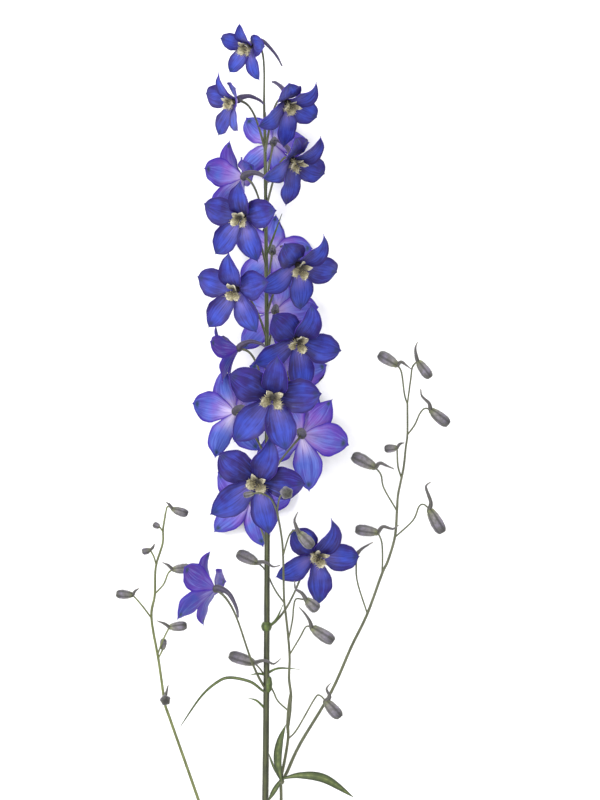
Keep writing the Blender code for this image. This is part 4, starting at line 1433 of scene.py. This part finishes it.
def bud_row(bud):
    """A bud with its spur as one tube, from the spur's tip to the bud's nose."""
    base, nose = Vector(bud.base), Vector(bud.nose)
    knots = []
    for i, point in enumerate(reversed(bud.spur)):
        share = i / len(bud.spur)
        radius = BUD_SPUR_TIP + (BUD_SPUR_ROOT - BUD_SPUR_TIP) * share
        knots.append((Vector(point), radius, BUD_SPUR_SHARE * share))
    for share, full in BUD_TAPER:
        mark = BUD_SPUR_SHARE + (1 - BUD_SPUR_SHARE) * share
        knots.append((base.lerp(nose, share), bud.radius * full, mark))
    path = smooth_path(on_plan(point for point, _, _ in knots), BUD_SPAN)
    row = []
    for i, place in enumerate(path):
        low = min(len(knots) - 2, i // BUD_SPAN)
        t = i / BUD_SPAN - low
        (_, radius, mark), (_, next_radius, next_mark) = knots[low : low + 2]
        radius += (next_radius - radius) * t
        row.append({"place": place, "radius": radius * MM, "along": mark + (next_mark - mark) * t})
    return row


def bud_stalk_row(bud, branch):
    """The path of a bud's stalk, from inside its branch to inside the bud."""
    base, nose = Vector(bud.base), Vector(bud.nose)
    inside = base.lerp(nose, BUD_STALK_INSIDE)
    line = [on_branch(branch, bud.foot), *map(Vector, bud.bends), base, inside]
    return tube_row(on_plan(line), [BUD_STALK_RADIUS] * len(line), STALK_SPAN)


def spray_piece(name, node, branch, buds, skin, swellings=()):
    """A side branch with its swellings, and its buds on their stalks."""
    count = len(branch) - 1
    shrink = BRANCH_TIP_RADIUS - BRANCH_FOOT_RADIUS
    radii = [BRANCH_FOOT_RADIUS + shrink * i / count for i in range(count + 1)]
    stalk_rows = [tube_row(on_plan(branch), radii, STALK_SPAN)]
    stalk_rows += [spindle_row(*swelling) for swelling in swellings]
    stalk_rows += [bud_stalk_row(bud, branch) for bud in buds]
    stalks = tubes(stalk_rows, BUD_STALK_TUBE, skin, BRANCH_SEED)
    skins = tubes([bud_row(bud) for bud in buds], BUD_TUBE, "bud", BRANCH_SEED)
    down = [
        hairs(mesh, sizes, "down", BRANCH_DOWN_SEED)
        for mesh, sizes in ((stalks, BRANCH_DOWN), (skins, BUD_DOWN))
    ]
    piece(name, [stalks, skins, *down], [node])


def lobe_row(lobe):
    """A leaf lobe's midrib in the row frame, with what its blade and its finish read."""
    line = smooth_path(on_plan(lobe.midrib), LOBE_SPAN)
    power = math.log(0.5) / math.log(lobe.widest)
    row = []
    for i, place in enumerate(line):
        u = i / (len(line) - 1)
        bulge = math.sin(math.pi * min(1.0, u**power)) ** lobe.bluntness
        foot = LOBE_FOOT * (1 - u)
        tip = LOBE_TIP * min(1.0, (1 - u) / LOBE_TIP_REACH)
        share = max(foot + (1 - foot) * bulge, tip)
        row.append(
            {
                "place": place,
                "half_width": lobe.width / 2 * share * MM,
                "tilt": 0.0,
                "cup": LOBE_CUP,
                "along": u,
            }
        )
    return row


def leaf_piece(name, node, lobes, cushions=()):
    """A leaf's lobes, with the cushions they grow from where those show."""
    meshes = [blades([lobe_row(lobe) for lobe in lobes], LEAF_BLADE, "leaf", "leaf", LEAF_SEED)]
    for cushion in cushions:
        meshes.append(tubes([spindle_row(*cushion)], CUSHION_TUBE, "stalk", STEM_SEED))
    piece(name, meshes, [node])


def studio():
    """A white floor, a wide softbox overhead, a small one on the left, and the camera."""
    mesh = bpy.data.meshes.new("floor")
    corners = ((-1, -1), (1, -1), (1, 1), (-1, 1))
    places = [(x * FLOOR_REACH, y * FLOOR_REACH, FLOOR_HEIGHT) for x, y in corners]
    mesh.from_pydata(places, [], [(0, 1, 2, 3)])
    floor = bpy.data.objects.new("floor", mesh)
    mesh.materials.append(FINISHES["floor"])
    bpy.context.scene.collection.objects.link(floor)

    surround = bpy.data.worlds.new("soft_white_surround")
    surround.use_nodes = True
    background = surround.node_tree.nodes["Background"]
    background.inputs["Color"].default_value = (1.0, 1.0, 1.0, 1.0)
    background.inputs["Strength"].default_value = SURROUND_STRENGTH
    bpy.context.scene.world = surround

    for name, place, size, power in SOFTBOXES:
        light = bpy.data.lights.new(name, "AREA")
        light.shape = "SQUARE"
        light.size = size
        light.energy = power
        lamp = bpy.data.objects.new(name, light)
        lamp.location = place
        towards_plant = Vector(LIGHT_AIM) - Vector(place)
        lamp.rotation_euler = towards_plant.to_track_quat("-Z", "Y").to_euler()
        bpy.context.scene.collection.objects.link(lamp)

    lens = bpy.data.cameras.new("overhead_camera")
    lens.sensor_fit = "AUTO"
    lens.sensor_width = CAMERA_SENSOR
    lens.lens = CAMERA_SENSOR * (CAMERA_HEIGHT - PLANT_MIDDLE_HEIGHT) / VIEW_HEIGHT
    lens.clip_end = 50.0
    camera = bpy.data.objects.new("overhead_camera", lens)
    camera.location = (*CAMERA_AIM, CAMERA_HEIGHT)
    bpy.context.scene.collection.objects.link(camera)
    bpy.context.scene.camera = camera


for old in list(bpy.data.objects):
    bpy.data.objects.remove(old)
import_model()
bpy.context.scene.view_settings.view_transform = "Standard"

TREES = {"blade": blade_tree(), "tube": tube_tree(), "down": down_tree()}
FINISHES = {key: plain_finish(look) for key, look in PLAIN_FINISHES.items()}
FINISHES["sepal_front"] = sepal_finish("living_sepal_inner_face", INNER_FACE)
FINISHES["sepal_back"] = sepal_finish("living_sepal_outer_face", OUTER_FACE_WITH_PAINTED_BACKLIGHT)

stem_piece()
spray_piece("left_branch_of_buds", "left_spray", LEFT_BRANCH, LEFT_BUDS, "young_stalk")
spray_piece("middle_branch_of_buds", "middle_spray", MIDDLE_BRANCH, MIDDLE_BUDS, "stalk", [SHEATH])
spray_piece("right_branch_of_buds", "right_spray", RIGHT_BRANCH, RIGHT_BUDS, "stalk")
leaf_piece("leaf_at_the_fork", "fork_leaf", FORK_LOBES, [LEAF_FOOT])
leaf_piece("long_narrow_leaf", "long_leaf", [LONG_LEAF])
for flower in BLOOMS:
    flower_piece(flower)
    throat_piece(flower)
studio()
